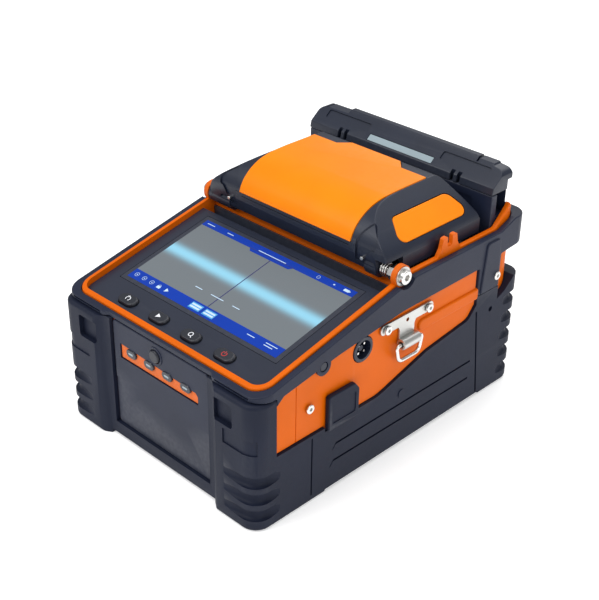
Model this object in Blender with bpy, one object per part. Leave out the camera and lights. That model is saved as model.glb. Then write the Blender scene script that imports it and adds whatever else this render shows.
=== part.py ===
"""Hand-held fibre fusion splicer: case, screen, splice head, wind cover, tube heater and battery.

Sizes are millimetres and are turned into metres where the geometry is made.
X is the operator's right, Y runs from the operator to the back, Z is up.
The origin is the middle of the footprint, on the surface the splicer stands on.
"""
import math

import bmesh
import bpy
from mathutils import Matrix, Vector

MM = 0.001
GAP = 0.3                       # clearance between neighbouring pieces

# ---- case ---------------------------------------------------------------------------
case_width = 143.0              # over the rubber sides
case_length = 198.0             # over the rubber corner bumpers
boot_side_wall = 3.5
boot_front_wall = 6.5
boot_rear_wall = 5.5
boot_floor = 3.0
boot_radius = 9.0
boot_corner_top = 70.5          # top of the front corner bumpers
lip_depth = 3.8                 # the lip under the battery, behind the bumpers
shell_wall = 2.5
side_pad = 2.6                  # how far the orange side field stands out of the shell
frame_drop = 0.8                # how far the dark band stays below the orange rim
rim_level = 98.0                # orange rim beside the splice head
shoulder_level = 109.0          # orange shoulders beside the heater

# ---- control panel and screen -------------------------------------------------------
panel_tilt = math.radians(12.8)
panel_level = 83.7              # height of the panel's surface at the middle of the screen
panel_from_front = 57.3         # middle of the screen behind the front bumpers
panel_thick = 2.5
trim_proud = 2.8                # orange rim above the panel
screen_width = 113.4
screen_height = 61.4
screen_glass_thick = 1.2
key_length = 12.0
key_width = 7.0
key_pitch = 23.6
key_middle = -1.7               # the key row sits slightly left of the centre line
key_row = -41.3                 # key row in front of the screen's middle, along the panel
key_travel = 1.0

# ---- battery ------------------------------------------------------------------------
battery_width = 70.4
battery_top = 70.4
battery_bottom = 9.3
battery_depth = 60.0
strip_margin = 6.2              # orange strip to the battery front's sides
lens_length = 7.0
lens_margin = 5.25              # outer lenses to the strip's ends
check_button_radius = 3.4

# ---- wind cover ---------------------------------------------------------------------
hinge_level = 98.6
hinge_from_front = 100.35
barrel_radius = 5.3
bolt_radius = 2.0
cover_side_room = 2.6           # between the cover and the case's inner wall
cover_top = 124.5
cover_flat_half = 39.6          # half width of the flat top
cover_wall = 2.8
inlay_thick = 1.3

# ---- heater -------------------------------------------------------------------------
heater_side_gap = 0.6
heater_depth = 16.2
heater_back_from_rear = 8.8
heater_base_top = 115.2
heater_top = 128.6

# ---- derived places -----------------------------------------------------------------
half = case_width / 2
front = -case_length / 2
rear = case_length / 2
boot_inner_half = half - boot_side_wall
boot_inner_front = front + boot_front_wall
boot_inner_rear = rear - boot_rear_wall
shell_half = boot_inner_half - GAP
shell_front = boot_inner_front + GAP
shell_rear = boot_inner_rear - GAP
shell_inner = shell_half - shell_wall
shell_floor = boot_floor + GAP
cover_half_width = shell_inner - cover_side_room
heater_half = shell_inner - heater_side_gap
spring_start = shell_inner - 9.4    # the hinge is open to the right from here
pad_face = shell_half + side_pad
panel_y = front + panel_from_front
hinge_y = front + hinge_from_front
heater_back = rear - heater_back_from_rear
heater_front = heater_back - heater_depth
cover_back = heater_front - 6.0
post_front = rear - 39.5
post_back = rear - 21.5
window_front = front + 13.7
deck_front = hinge_y + 7.3
fibre_y = (hinge_y + cover_back) / 2 + 2.8
fibre_z = 101.5
deck_top = 87.0


def slope(y):
    """Height of the tilted panel's surface at a depth y."""
    return panel_level + (y - panel_y) * math.tan(panel_tilt)


def rim(y):
    """Height of the orange rim at a depth y in front of the splice head."""
    return slope(y) + trim_proud / math.cos(panel_tilt)


rim_bend = panel_y + (rim_level - trim_proud / math.cos(panel_tilt) - panel_level) / math.tan(panel_tilt)
panel_rear_y = hinge_y - 9.0
panel_rear_v = (panel_rear_y - panel_y) / math.cos(panel_tilt)
panel_front_v = (shell_front + shell_wall + GAP - panel_y) / math.cos(panel_tilt)

# ---- scene set-up -------------------------------------------------------------------
for old in list(bpy.data.objects):
    bpy.data.objects.remove(old, do_unlink=True)

parts = bpy.data.collections.new("fusion_splicer")
helpers = bpy.data.collections.new("cutters")
for group in (parts, helpers):
    bpy.context.scene.collection.children.link(group)


def make_material(name, colour, roughness, metallic=0.0):
    material = bpy.data.materials.new(name)
    material.use_nodes = True
    shader = material.node_tree.nodes["Principled BSDF"]
    shader.inputs["Base Color"].default_value = (*colour, 1.0)
    shader.inputs["Roughness"].default_value = roughness
    shader.inputs["Metallic"].default_value = metallic
    return material


orange = make_material("orange_shell", (0.82, 0.16, 0.015), 0.45)
amber = make_material("amber_cover", (1.0, 0.28, 0.004), 0.4)
dark = make_material("dark_plastic", (0.028, 0.034, 0.06), 0.5)
rubber = make_material("dark_rubber", (0.022, 0.026, 0.045), 0.75)
steel = make_material("nickel_steel", (0.72, 0.71, 0.69), 0.28, 1.0)
glass = make_material("screen_face", (0.2, 0.21, 0.23), 0.1)
board_green = make_material("circuit_board", (0.02, 0.12, 0.05), 0.5)
strip_white = make_material("light_strip", (0.5, 0.58, 0.62), 0.4)
ceramic = make_material("ceramic", (0.85, 0.83, 0.78), 0.5)


# ---- modelling helpers --------------------------------------------------------------
def move_to(obj, group):
    for old in list(obj.users_collection):
        old.objects.unlink(obj)
    group.objects.link(obj)
    return obj


def block(name, low, high):
    """A box between two corners."""
    centre = [(a + b) / 2 * MM for a, b in zip(low, high)]
    size = [(b - a) * MM for a, b in zip(low, high)]
    bpy.ops.mesh.primitive_cube_add(size=1.0, location=centre)
    obj = bpy.context.object
    obj.name = name
    obj.data.transform(Matrix.LocRotScale(Vector(centre), None, Vector(size)))
    obj.location = (0, 0, 0)
    return move_to(obj, parts)


def rod(name, axis, start, stop, centre, radius, sides=16, tip_radius=None):
    """A round bar along X, Y or Z; centre gives its two other coordinates, in order."""
    turn = {"X": Matrix.Rotation(math.pi / 2, 4, "Y"),
            "Y": Matrix.Rotation(-math.pi / 2, 4, "X"),
            "Z": Matrix.Identity(4)}[axis]
    middle = (start + stop) / 2
    place = {"X": (middle, *centre), "Y": (centre[0], middle, centre[1]), "Z": (*centre, middle)}[axis]
    end_radius = radius if tip_radius is None else tip_radius
    mesh = bpy.data.meshes.new(name)
    bm = bmesh.new()
    bmesh.ops.create_cone(bm, cap_ends=True, segments=sides, radius1=radius * MM,
                          radius2=end_radius * MM, depth=(stop - start) * MM)
    bm.transform(Matrix.Translation(Vector(place) * MM) @ turn)
    bm.to_mesh(mesh)
    bm.free()
    mesh.set_sharp_from_angle(angle=math.radians(40))
    obj = bpy.data.objects.new(name, mesh)
    parts.objects.link(obj)
    return obj


def mesh_from_curve(curve_object, place):
    """Turn a curve object into a welded mesh object of the same name."""
    bpy.context.view_layer.update()
    name = curve_object.name
    evaluated = curve_object.evaluated_get(bpy.context.evaluated_depsgraph_get())
    mesh = bpy.data.meshes.new_from_object(evaluated)
    curve_object.name = name + "_outline"
    bpy.data.objects.remove(curve_object, do_unlink=True)
    bm = bmesh.new()
    bm.from_mesh(mesh)
    bmesh.ops.remove_doubles(bm, verts=bm.verts, dist=0.00001)
    bmesh.ops.recalc_face_normals(bm, faces=bm.faces)
    bm.transform(place)
    bm.to_mesh(mesh)
    bm.free()
    obj = bpy.data.objects.new(name, mesh)
    parts.objects.link(obj)
    return obj


def plate(name, outline, start, stop, axis):
    """A flat outline given thickness along an axis: (x, y) along Z, (y, z) along X, (x, z) along Y."""
    data = bpy.data.curves.new(name, "CURVE")
    data.dimensions = "2D"
    data.fill_mode = "BOTH"
    data.extrude = (stop - start) / 2 * MM
    spline = data.splines.new("POLY")
    spline.points.add(len(outline) - 1)
    for point, (a, b) in zip(spline.points, outline):
        point.co = (a * MM, b * MM, 0.0, 1.0)
    spline.use_cyclic_u = True
    obj = bpy.data.objects.new(name, data)
    parts.objects.link(obj)
    middle = (start + stop) / 2 * MM
    turn = {"Z": Matrix(((1, 0, 0), (0, 1, 0), (0, 0, 1))),
            "X": Matrix(((0, 0, 1), (1, 0, 0), (0, 1, 0))),
            "Y": Matrix(((1, 0, 0), (0, 0, -1), (0, 1, 0)))}[axis]
    shift = {"Z": (0, 0, middle), "X": (middle, 0, 0), "Y": (0, middle, 0)}[axis]
    return mesh_from_curve(obj, Matrix.Translation(shift) @ turn.to_4x4())


def wire(name, points, radius, closed=False, sides=2):
    """A round wire along a chain of points."""
    data = bpy.data.curves.new(name, "CURVE")
    data.dimensions = "3D"
    data.bevel_depth = radius * MM
    data.bevel_resolution = sides
    data.use_fill_caps = not closed
    spline = data.splines.new("POLY")
    spline.points.add(len(points) - 1)
    for point, place in zip(spline.points, points):
        point.co = (*(Vector(place) * MM), 1.0)
    spline.use_cyclic_u = closed
    obj = bpy.data.objects.new(name, data)
    parts.objects.link(obj)
    return mesh_from_curve(obj, Matrix.Identity(4))


def combine(target, other, operation):
    modifier = target.modifiers.new(other.name, "BOOLEAN")
    modifier.operation = operation
    modifier.solver = "EXACT"
    modifier.object = other
    other.hide_render = True
    other.display_type = "WIRE"
    move_to(other, helpers)


def cut(target, *tools):
    for tool in tools:
        combine(target, tool, "DIFFERENCE")


def add(target, *pieces):
    for piece in pieces:
        combine(target, piece, "UNION")


def keep_inside(target, tool):
    combine(target, tool, "INTERSECT")


def arc(centre, radius, start, stop, steps):
    """Points on a circle between two angles in degrees."""
    angles = [math.radians(start + (stop - start) * i / steps) for i in range(steps + 1)]
    return [(centre[0] + radius * math.cos(a), centre[1] + radius * math.sin(a)) for a in angles]


def rounded_rect(x0, x1, y0, y1, radius, steps=4):
    corners = (((x1 - radius, y1 - radius), 0), ((x0 + radius, y1 - radius), 90),
               ((x0 + radius, y0 + radius), 180), ((x1 - radius, y0 + radius), 270))
    points = []
    for centre, start in corners:
        points += arc(centre, radius, start, start + 90, steps)
    return points


def slot_outline(x, y, length, width, steps=5):
    """A slot with round ends, its length along the first axis."""
    reach = (length - width) / 2
    return arc((x + reach, y), width / 2, -90, 90, steps) + arc((x - reach, y), width / 2, 90, 270, steps)


def fillet(points, radii, steps=3):
    """A polygon with its corners rounded; a radius of 0 keeps a corner sharp."""
    result = []
    count = len(points)
    for i, radius in enumerate(radii):
        here = Vector(points[i])
        before = (Vector(points[i - 1]) - here).normalized()
        after = (Vector(points[(i + 1) % count]) - here).normalized()
        if radius == 0:
            result.append(tuple(here))
            continue
        angle = before.angle(after)
        reach = radius / math.tan(angle / 2)
        start, stop = here + before * reach, here + after * reach
        centre = here + (before + after).normalized() * (radius / math.sin(angle / 2))
        for step in range(steps + 1):
            ray = (start - centre).slerp(stop - centre, step / steps)
            result.append(tuple(centre + ray.normalized() * radius))
    return result


def inset(points, distance):
    """Move every side of an anticlockwise polygon inwards."""
    count = len(points)
    lines = []
    for i in range(count):
        a, b = Vector(points[i]), Vector(points[(i + 1) % count])
        along = (b - a).normalized()
        lines.append((a + Vector((-along.y, along.x)) * distance, along))
    result = []
    for i in range(count):
        (p, d), (q, e) = lines[i - 1], lines[i]
        cross = d.x * e.y - d.y * e.x
        if abs(cross) < 1e-4:
            result.append(tuple(q))
            continue
        t = ((q.x - p.x) * e.y - (q.y - p.y) * e.x) / cross
        result.append(tuple(p + d * t))
    return result


def frame_at(name, place, tilt=0.0):
    """An empty on a joint's axis, or at the middle of the tilted panel."""
    empty = bpy.data.objects.new(name, None)
    empty.empty_display_size = 5 * MM
    empty.location = Vector(place) * MM
    empty.rotation_euler = (tilt, 0, 0)
    parts.objects.link(empty)
    bpy.context.view_layer.update()
    return empty


def hang_on(empty, *objects):
    """Parent world-placed objects to an empty without moving them."""
    for obj in objects:
        obj.parent = empty
        obj.matrix_parent_inverse = empty.matrix_world.inverted()


def place_on(empty, *objects):
    """Parent objects whose shapes are drawn in the empty's own frame."""
    for obj in objects:
        obj.parent = empty


def dress(material, *objects):
    for obj in objects:
        obj.data.materials.clear()
        obj.data.materials.append(material)


# ---- case outlines ------------------------------------------------------------------
def window_top():
    """Lower edge of the dark band over the orange side field, front to back."""
    return [(window_front, 65.5), (window_front + 6.3, 70.0), (window_front + 40.0, 76.0),
            (hinge_y - 1.5, 81.0), (post_front, 81.5)]


def window_bottom():
    """Upper edge of the rubber boot under the orange side field, back to front."""
    low = 39.0
    foot = fillet([(post_front, 62.0), (post_front - 4.5, 51.5), (post_front - 36.0, 48.0),
                   (post_front - 51.0, 39.4), (window_front, low)], [0, 5.0, 14.0, 12.0, 0])
    notch_front, notch_back = usb_front - 0.5, usb_back + 0.5
    return foot[:-1] + [(notch_back, low), (notch_back, usb_low - 0.5),
                        (notch_front, usb_low - 0.5), (notch_front, low), foot[-1]]


usb_front = front + 46.0
usb_back = usb_front + 21.0
usb_low = 37.5
usb_high = 57.0
dc_y, dc_z, dc_radius = front + 71.4, 71.2, 6.7
side_screw = (front + 35.2, 55.1)
post_screw = (post_front + 14.0, 73.1)
bracket_y, bracket_z = hinge_y + 1.5, 76.2
bracket_screw_reach = 15.4
ring_axis_x = pad_face + 3.3
ring_axis_z = 64.5
wire_radius = 1.3
plate_thick = 1.2


def make_shell():
    shell = plate("body_shell", rounded_rect(-shell_half, shell_half, shell_front, shell_rear, boot_radius),
                  shell_floor, shoulder_level, "Z")
    hollow = plate("shell_hollow", rounded_rect(-shell_inner, shell_inner, shell_front + shell_wall,
                                                shell_rear - shell_wall, boot_radius - shell_wall),
                   shell_floor + shell_wall, shoulder_level + 5, "Z")
    above = plate("above_rim", [(front, rim(front)), (rim_bend, rim_level), (heater_front + 1.0, rim_level),
                                (heater_front + 12.5, shoulder_level), (shell_rear, shoulder_level - 5),
                                (rear + 10, shoulder_level - 5), (rear + 10, shoulder_level + 10),
                                (front, shoulder_level + 10)], -half, half, "X")
    cut(shell, hollow, above)
    cross_wall = plate("cross_wall", [(hinge_y + 0.15, 70.0), (hinge_y + 7.0, 70.0), (hinge_y + 7.0, 94.6),
                                      (hinge_y + 4.15, 94.6), (hinge_y + 0.15, 91.1)],
                       -shell_inner - 0.5, shell_inner + 0.5, "X")
    add(shell, cross_wall)
    field = inset((window_bottom() + window_top())[::-1], GAP + 0.1)
    rib = fillet([(bracket_y + 7.0, 64.0), (post_front - 1.0, 64.0), (post_front - 1.0, 70.0),
                  (bracket_y + 7.0, 70.0)], [2.9, 0, 0, 2.9])
    for side in (-1, 1):
        for name, outline, reach in (("field", field, pad_face), ("rib", rib, pad_face + 1.2)):
            near, far = sorted((side * (shell_half - 1.0), side * reach))
            add(shell, plate(f"side_{name}_{side}", outline, near, far, "X"))
        near, far = sorted((side * shell_inner, side * (shell_half + 0.5)))
        add(shell, rod(f"hinge_ear_{side}", "X", near, far, (hinge_y, hinge_level), 5.6, 20))
        tab = [(fibre_y - 8.5, rim_level - 1), (fibre_y + 8.5, rim_level - 1), (fibre_y + 6.0, 102.0),
               (fibre_y + 4.5, 107.0), (fibre_y + 1.8, 107.0), (fibre_y + 1.8, fibre_z),
               (fibre_y - 1.8, fibre_z), (fibre_y - 1.8, 107.0), (fibre_y - 4.5, 107.0), (fibre_y - 6.0, 102.0)]
        near, far = sorted((side * shell_inner, side * shell_half))
        add(shell, plate(f"fibre_tab_{side}", tab, near, far, "X"))
    bore = bolt_radius + GAP
    cut(shell, rod("ear_bore", "X", -half, half, (hinge_y, hinge_level), bore, 12))
    cut(shell, block("battery_door", (-battery_width / 2 - GAP, front - 5, battery_bottom - GAP),
                     (battery_width / 2 + GAP, shell_front + shell_wall + 1, battery_top + GAP)))
    cut(shell, rod("dc_hole", "X", shell_inner - 5, half + 5, (dc_y, dc_z), dc_radius + GAP, 20))
    cut(shell, block("usb_hole", (shell_inner - 5, usb_front + 4.0, usb_low + 5.0),
                     (half + 5, usb_back - 4.0, usb_high - 5.0)))
    screw_places = [side_screw, (bracket_y - bracket_screw_reach, bracket_z),
                    (bracket_y + bracket_screw_reach, bracket_z), post_screw]
    for number, place in enumerate(screw_places):
        cut(shell, rod(f"screw_bore_{number}", "X", -half - 5, half + 5, place, 1.3 + GAP, 8))
    dress(orange, shell)


def boot_groove(name, corner_x, corner_y, level, height, depth):
    """A groove that wraps a rubber corner and fades out along both faces."""
    sx, sy = math.copysign(1, corner_x), math.copysign(1, corner_y)
    cx, cy = abs(corner_x) - boot_radius, abs(corner_y) - boot_radius
    line = [(cx - 13.0, cy + boot_radius + 0.05)]
    line += [(cx + (boot_radius - depth) * math.cos(a), cy + (boot_radius - depth) * math.sin(a))
             for a in (math.radians(90 - 90 * i / 5) for i in range(6))]
    line += [(cx + boot_radius + 0.05, cy - 6.0), (cx + 30, cy - 6.0), (cx + 30, cy + 30), (cx - 13.0, cy + 30)]
    return plate(name, [(sx * x, sy * y) for x, y in line], level, level + height, "Z")


def front_recess(name, depth, top):
    """The room between the two front bumpers, its sides sloping out to the front."""
    near, far = 45.0 + 1.5 * 1.0, 45.0 - 1.5 * depth
    outline = [(-near, front - 1.0), (near, front - 1.0), (far, front + depth), (-far, front + depth)]
    return plate(name, outline, -1.0, top, "Z")


def make_boot():
    boot = plate("rubber_boot", rounded_rect(-half, half, front, rear, boot_radius), 0.0, boot_corner_top, "Z")
    cut(boot, plate("boot_hollow", rounded_rect(-boot_inner_half, boot_inner_half, boot_inner_front,
                                                boot_inner_rear, boot_radius + GAP),
                    boot_floor, boot_corner_top + 5, "Z"))
    top = boot_corner_top + 5
    cut(boot, plate("boot_side_window", [(window_front, top)] + window_bottom()[::-1] + [(post_front, top)],
                    -half - 5, half + 5, "X"))
    cut(boot, plate("boot_rear_window", [(post_back, top), (post_back, 57.0), (post_back + 8, 59.5),
                                         (post_back + 16, 66.0), (rear + 5, 66.0), (rear + 5, top)],
                    -half - 5, half + 5, "X"))
    cut(boot, block("post_split", (-half - 5, post_front - 1, 65.2), (half + 5, post_back + 1, top)))
    cut(boot, front_recess("front_recess", lip_depth, top))
    cut(boot, block("battery_opening", (-battery_width / 2 - 1, front - 5, battery_bottom - GAP),
                    (battery_width / 2 + 1, boot_inner_front + 5, top)))
    cut(boot, block("rear_opening", (-38.0, boot_inner_rear - 5, 46.0), (38.0, rear + 5, top)))
    cut(boot, block("floor_opening", (-44.0, front + 34.0, -1.0), (44.0, rear - 34.0, boot_floor + 1)))
    cut(boot, block("side_step", (-half - 5, front + 46.4, -1.0), (half + 5, rear - 29.4, 2.0)))
    cut(boot, block("end_step", (-40.0, front - 5, -1.0), (40.0, rear + 5, 2.0)))
    for sx in (-1, 1):
        for number in range(3):
            cut(boot, boot_groove(f"front_groove_{sx}_{number}", sx * half, front, 6.5 + 9.5 * number, 6.0, 2.5))
        for number in range(5):
            cut(boot, boot_groove(f"rear_groove_{sx}_{number}", sx * half, rear, 6.5 + 11.5 * number, 6.0, 2.0))
        near, far = sorted((sx * 44.0, sx * 56.5))
        cut(boot, block(f"corner_pocket_{sx}", (near, front - 1, 53.5), (far, front + 2.5, 66.0)))
    dress(rubber, boot)


def make_top_frame():
    frame = plate("top_frame", rounded_rect(-half, half, front + 3.0, rear, boot_radius), 60.0, 105.0, "Z")
    cut(frame, plate("frame_hollow", rounded_rect(-boot_inner_half, boot_inner_half, boot_inner_front,
                                                  boot_inner_rear, boot_radius + GAP), 55.0, 110.0, "Z"))
    cut(frame, front_recess("frame_recess", lip_depth + 1.2, 110.0))
    low = [(front - 5, boot_corner_top + GAP), (window_front + GAP, boot_corner_top + GAP)]
    low += [(window_front + GAP, 65.5)] + window_top()[1:]
    low += [(post_front, 65.5), (post_back, 65.5), (post_back, 84.0), (rear + 5, 86.0)]
    high = [(rear + 5, 101.5), (heater_front + 13.5, 101.5), (heater_front + 2.0, rim_level - frame_drop),
            (rim_bend, rim_level - frame_drop), (front - 5, rim(front - 5) - frame_drop)]
    keep_inside(frame, plate("frame_profile", low + high, -half - 5, half + 5, "X"))
    cut(frame, rod("frame_screw_bore", "X", -half - 5, half + 5, post_screw, 1.3 + GAP, 8))
    head_room = 5.6 + GAP
    for side in (-1, 1):
        near, far = sorted((side * (shell_half - 1.0), side * (half + 5)))
        cut(frame, rod(f"bolt_head_room_{side}", "X", near, far, (hinge_y, hinge_level), head_room, 16))
    dress(dark, frame)


def make_panel():
    place = frame_at("panel_frame", (0, panel_y, panel_level), panel_tilt)
    width = shell_inner - GAP
    corner = boot_radius - shell_wall - GAP
    outline = arc((-width + corner, panel_front_v + corner), corner, 180, 270, 4)
    outline += arc((width - corner, panel_front_v + corner), corner, 270, 360, 4)
    outline += [(width, panel_rear_v), (-width, panel_rear_v)]
    panel = plate("control_panel", outline, -panel_thick, 0.0, "Z")
    floor = block("trough_floor", (-width, panel_rear_y - 2.0, 83.0), (width, hinge_y - 0.15, 85.0))
    lip = block("trough_lip", (-width, panel_rear_y - 2.0, 83.0), (width, panel_rear_y - 0.2, slope(panel_rear_y) - 1.5))
    add(panel, floor, lip)
    window = (screen_width / 2 + GAP, screen_height / 2 + GAP)
    opening = block("screen_opening", (-window[0], -window[1], -5.0), (window[0], window[1], 5.0))
    cut(panel, opening)
    face = (screen_width / 2, screen_height / 2)
    screen = block("screen_glass", (-face[0], -face[1], -screen_glass_thick), (*face, 0.0))
    module = block("lcd_module", (-face[0], -face[1], -6.0), (*face, -screen_glass_thick - GAP))
    place_on(place, panel, opening, screen, module)
    names = ("key_reset", "key_play", "key_zoom", "key_power")
    for number, name in enumerate(names):
        u = key_middle + (number - 1.5) * key_pitch
        hole = plate(name + "_hole", slot_outline(u, key_row, key_length + 2 * GAP, key_width + 2 * GAP), -5.0, 5.0, "Z")
        cap = plate(name, slot_outline(u, key_row, key_length, key_width), -panel_thick - GAP - 0.5, 1.6, "Z")
        flange = plate(name + "_flange", slot_outline(u, key_row, key_length + 2.5, key_width + 2.5),
                       -panel_thick - GAP - 1.0, -panel_thick - GAP, "Z")
        cut(panel, hole)
        add(cap, flange)
        place_on(place, hole, cap, flange)
        dress(dark, cap)
    row_middle = key_middle
    board = block("key_board", (row_middle - 46, key_row - 4.6, -6.7), (row_middle + 46, key_row + 4.6, -5.1))
    place_on(place, board)
    dress(dark, panel, module)
    dress(glass, screen)
    dress(board_green, board)


def make_battery():
    travel = frame_at("battery_slide", (0, front + 5, 35.0))
    face_y = front + 5.0
    back_y = face_y + 3.5
    wide = battery_width / 2
    strip_x, strip_z = -1.2, 54.3
    strip_half, strip_tall = wide - strip_margin, 4.3
    lens_pitch = (2 * strip_half - 2 * lens_margin - lens_length) / 3
    button_place = (-2.6, 64.3 - 1.0)
    panel = block("battery_front", (-wide, face_y, battery_bottom), (wide, back_y, battery_top))
    cut(panel, block("strip_opening", (strip_x - strip_half - GAP, face_y - 1, strip_z - strip_tall - GAP),
                     (strip_x + strip_half + GAP, back_y + 1, strip_z + strip_tall + GAP)))
    cut(panel, rod("button_opening", "Y", face_y - 1, back_y + 1, button_place, check_button_radius + GAP, 16))
    cut(panel, block("finger_step", (-wide - 1, face_y - 1, battery_bottom - 1), (wide + 1, face_y + 0.6, 36.0)))
    strip = block("battery_strip", (strip_x - strip_half, face_y + 0.4, strip_z - strip_tall),
                  (strip_x + strip_half, back_y - 0.4, strip_z + strip_tall))
    lenses = []
    for number in range(4):
        x = strip_x + (number - 1.5) * lens_pitch
        hole = plate(f"lens_hole_{number}", slot_outline(x, strip_z + 1.4, lens_length + 2 * GAP, 4.4 + 2 * GAP, 4),
                     face_y - 1, back_y + 1, "Y")
        cut(strip, hole)
        lens = plate(f"battery_lens_{number + 1}", slot_outline(x, strip_z + 1.4, lens_length, 4.4, 4),
                     face_y - 0.3, back_y - 0.6, "Y")
        lenses.append(lens)
        hang_on(travel, hole)
    case_top = battery_top - 5.5
    case = block("battery_case", (-wide + 1.0, back_y + 3.0, battery_bottom + 0.7),
                 (wide - 1.0, back_y + battery_depth, case_top))
    add(case, block("case_nose", (-wide + 1.0, back_y + GAP, battery_bottom + 0.7), (wide - 1.0, back_y + 4.0, 45.0)))
    hang_on(travel, panel, strip, case, *lenses)
    dress(dark, panel, case, *lenses)
    dress(orange, strip)
    push = frame_at("check_button_slide", (button_place[0], face_y, button_place[1]))
    button = rod("check_button", "Y", face_y - 1.2, back_y + GAP + 0.5, button_place, check_button_radius, 16)
    flange = rod("check_flange", "Y", back_y + GAP, back_y + GAP + 1.0, button_place, check_button_radius + 1.3, 16)
    add(button, flange)
    hang_on(push, button, flange)
    dress(dark, button)


def make_ports():
    outer, inner = pad_face + 0.6, shell_inner - 6.0
    socket = rod("dc_socket", "X", inner, outer, (dc_y, dc_z), dc_radius, 20)
    cut(socket, rod("dc_cup", "X", outer - 6.0, outer + 1, (dc_y, dc_z), 4.9, 16))
    for number in range(4):
        angle = math.radians(45 + 90 * number)
        pin = (dc_y + 2.6 * math.cos(angle), dc_z + 2.6 * math.sin(angle))
        add(socket, rod(f"dc_pin_{number}", "X", outer - 6.5, outer - 1.5, pin, 0.6, 6))
    usb_y, usb_z = (usb_front + usb_back) / 2, (usb_low + usb_high) / 2
    usb = block("usb_socket", (shell_inner - 8, usb_y - 6.0, usb_z - 3.5), (pad_face - 1.0, usb_y + 6.0, usb_z + 3.5))
    cut(usb, block("usb_cup", (shell_inner - 6, usb_y - 5.3, usb_z - 2.8), (pad_face, usb_y + 5.3, usb_z + 2.8)))
    add(usb, block("usb_tongue", (shell_inner - 7, usb_y - 4.2, usb_z - 0.5), (pad_face - 1.6, usb_y + 4.2, usb_z + 1.0)))
    flap_hinge = frame_at("usb_cover_hinge", (pad_face + GAP + 1.4, usb_back, usb_z))
    outline = [(usb_front, usb_low), (usb_back, usb_low), (usb_back, usb_high - 4.0), (usb_back - 3.0, usb_high),
               (usb_front, usb_high)]
    flap = plate("usb_cover", outline, pad_face + GAP, pad_face + GAP + 2.8, "X")
    hang_on(flap_hinge, flap)
    dress(dark, socket)
    dress(steel, usb)
    dress(rubber, flap)


def make_screw(name, side, place, seat, head_radius=2.4, depth=7.0):
    """A pan-head screw in the case's side; seat is the surface that its head rests on."""
    near, far = sorted((side * (seat - depth), side * (seat + GAP + 0.5)))
    screw = rod(name, "X", near, far, place, 1.3, 8)
    near, far = sorted((side * (seat + GAP), side * (seat + GAP + 1.3)))
    add(screw, rod(name + "_head", "X", near, far, place, head_radius, 12))
    dress(steel, screw)


def make_strap_ring(side, label):
    """A plate with a rolled sleeve, and the wire ring that swings in it."""
    near, far = sorted((side * (pad_face + GAP), side * (pad_face + GAP + plate_thick)))
    bracket = block(f"strap_bracket_{label}", (near, bracket_y - 19.5, bracket_z - 2.6),
                    (far, bracket_y + 19.5, bracket_z + 2.6))
    add(bracket, block(f"bracket_tongue_{label}", (near, bracket_y - 5.5, ring_axis_z + 0.4),
                       (far, bracket_y + 5.5, bracket_z)))
    for end in (-1, 1):
        place = (bracket_y + end * bracket_screw_reach, bracket_z)
        cut(bracket, rod(f"bracket_bore_{label}_{end}", "X", near - 2, far + 2, place, 1.3 + GAP, 8))
        ending = "front" if end < 0 else "rear"
        make_screw(f"bracket_screw_{label}_{ending}", side, place, pad_face + GAP + plate_thick)
    x = side * ring_axis_x
    add(bracket, rod(f"sleeve_{label}", "Y", bracket_y - 6.2, bracket_y + 6.2, (x, ring_axis_z), 2.9, 16))
    cut(bracket, rod(f"sleeve_bore_{label}", "Y", bracket_y - 8, bracket_y + 8, (x, ring_axis_z), wire_radius + GAP, 12))
    wide, low_half, drop = 10.6, 7.0, 9.0
    path = fillet([(-wide, 0), (-low_half, -drop), (low_half, -drop), (wide, 0)], [2.0, 2.5, 2.5, 2.0])
    ring = wire(f"d_ring_{label}", [(x, bracket_y + a, ring_axis_z + b) for a, b in path], wire_radius, closed=True, sides=1)
    hang_on(frame_at(f"d_ring_{label}_hinge", (x, bracket_y, ring_axis_z)), ring)
    dress(steel, bracket, ring)


def cover_profile():
    """Side outline of the wind cover's skin, from the front bar over the top to the back."""
    nose = hinge_y - 5.75
    tail = cover_back
    arch = [(nose + 0.55, 100.2), (nose - 0.2, 103.5), (nose, 109.0), (nose + 3.4, 114.6), (nose + 8.4, 119.3),
            (nose + 15.0, 122.6), (nose + 23.5, 124.1), (nose + 34.0, cover_top), (tail - 10.4, cover_top),
            (tail - 8.6, cover_top - 1.3), (tail, 104.5)]
    return arch


def cover_section():
    """Half outline of the cover across its width, from the flat top down to the side."""
    return [(cover_flat_half, cover_top), (cover_half_width - 1.6, 108.6), (cover_half_width, 106.4)]


cover_foot = 96.8
shoulder_run = cover_half_width - 1.6 - cover_flat_half
shoulder_fall = cover_top - 108.6
shoulder_angle = math.atan2(shoulder_fall, shoulder_run)


def cover_solid(name, shrink, foot):
    """The cover's hipped block: its side outline and its cross outline meet in one solid."""
    side = cover_profile() + [(cover_back, foot), (hinge_y - 4.4, foot)]
    across = cover_section() + [(cover_half_width, foot)]
    across = [(-x, z) for x, z in across[::-1]] + across
    side, across = side[::-1], across[::-1]
    if shrink:
        side, across = inset(side, shrink), inset(across, shrink)
    solid = plate(name, side, -cover_half_width - 5, cover_half_width + 5, "X")
    keep_inside(solid, plate(name + "_section", across, front, rear, "Y"))
    return solid


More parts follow.
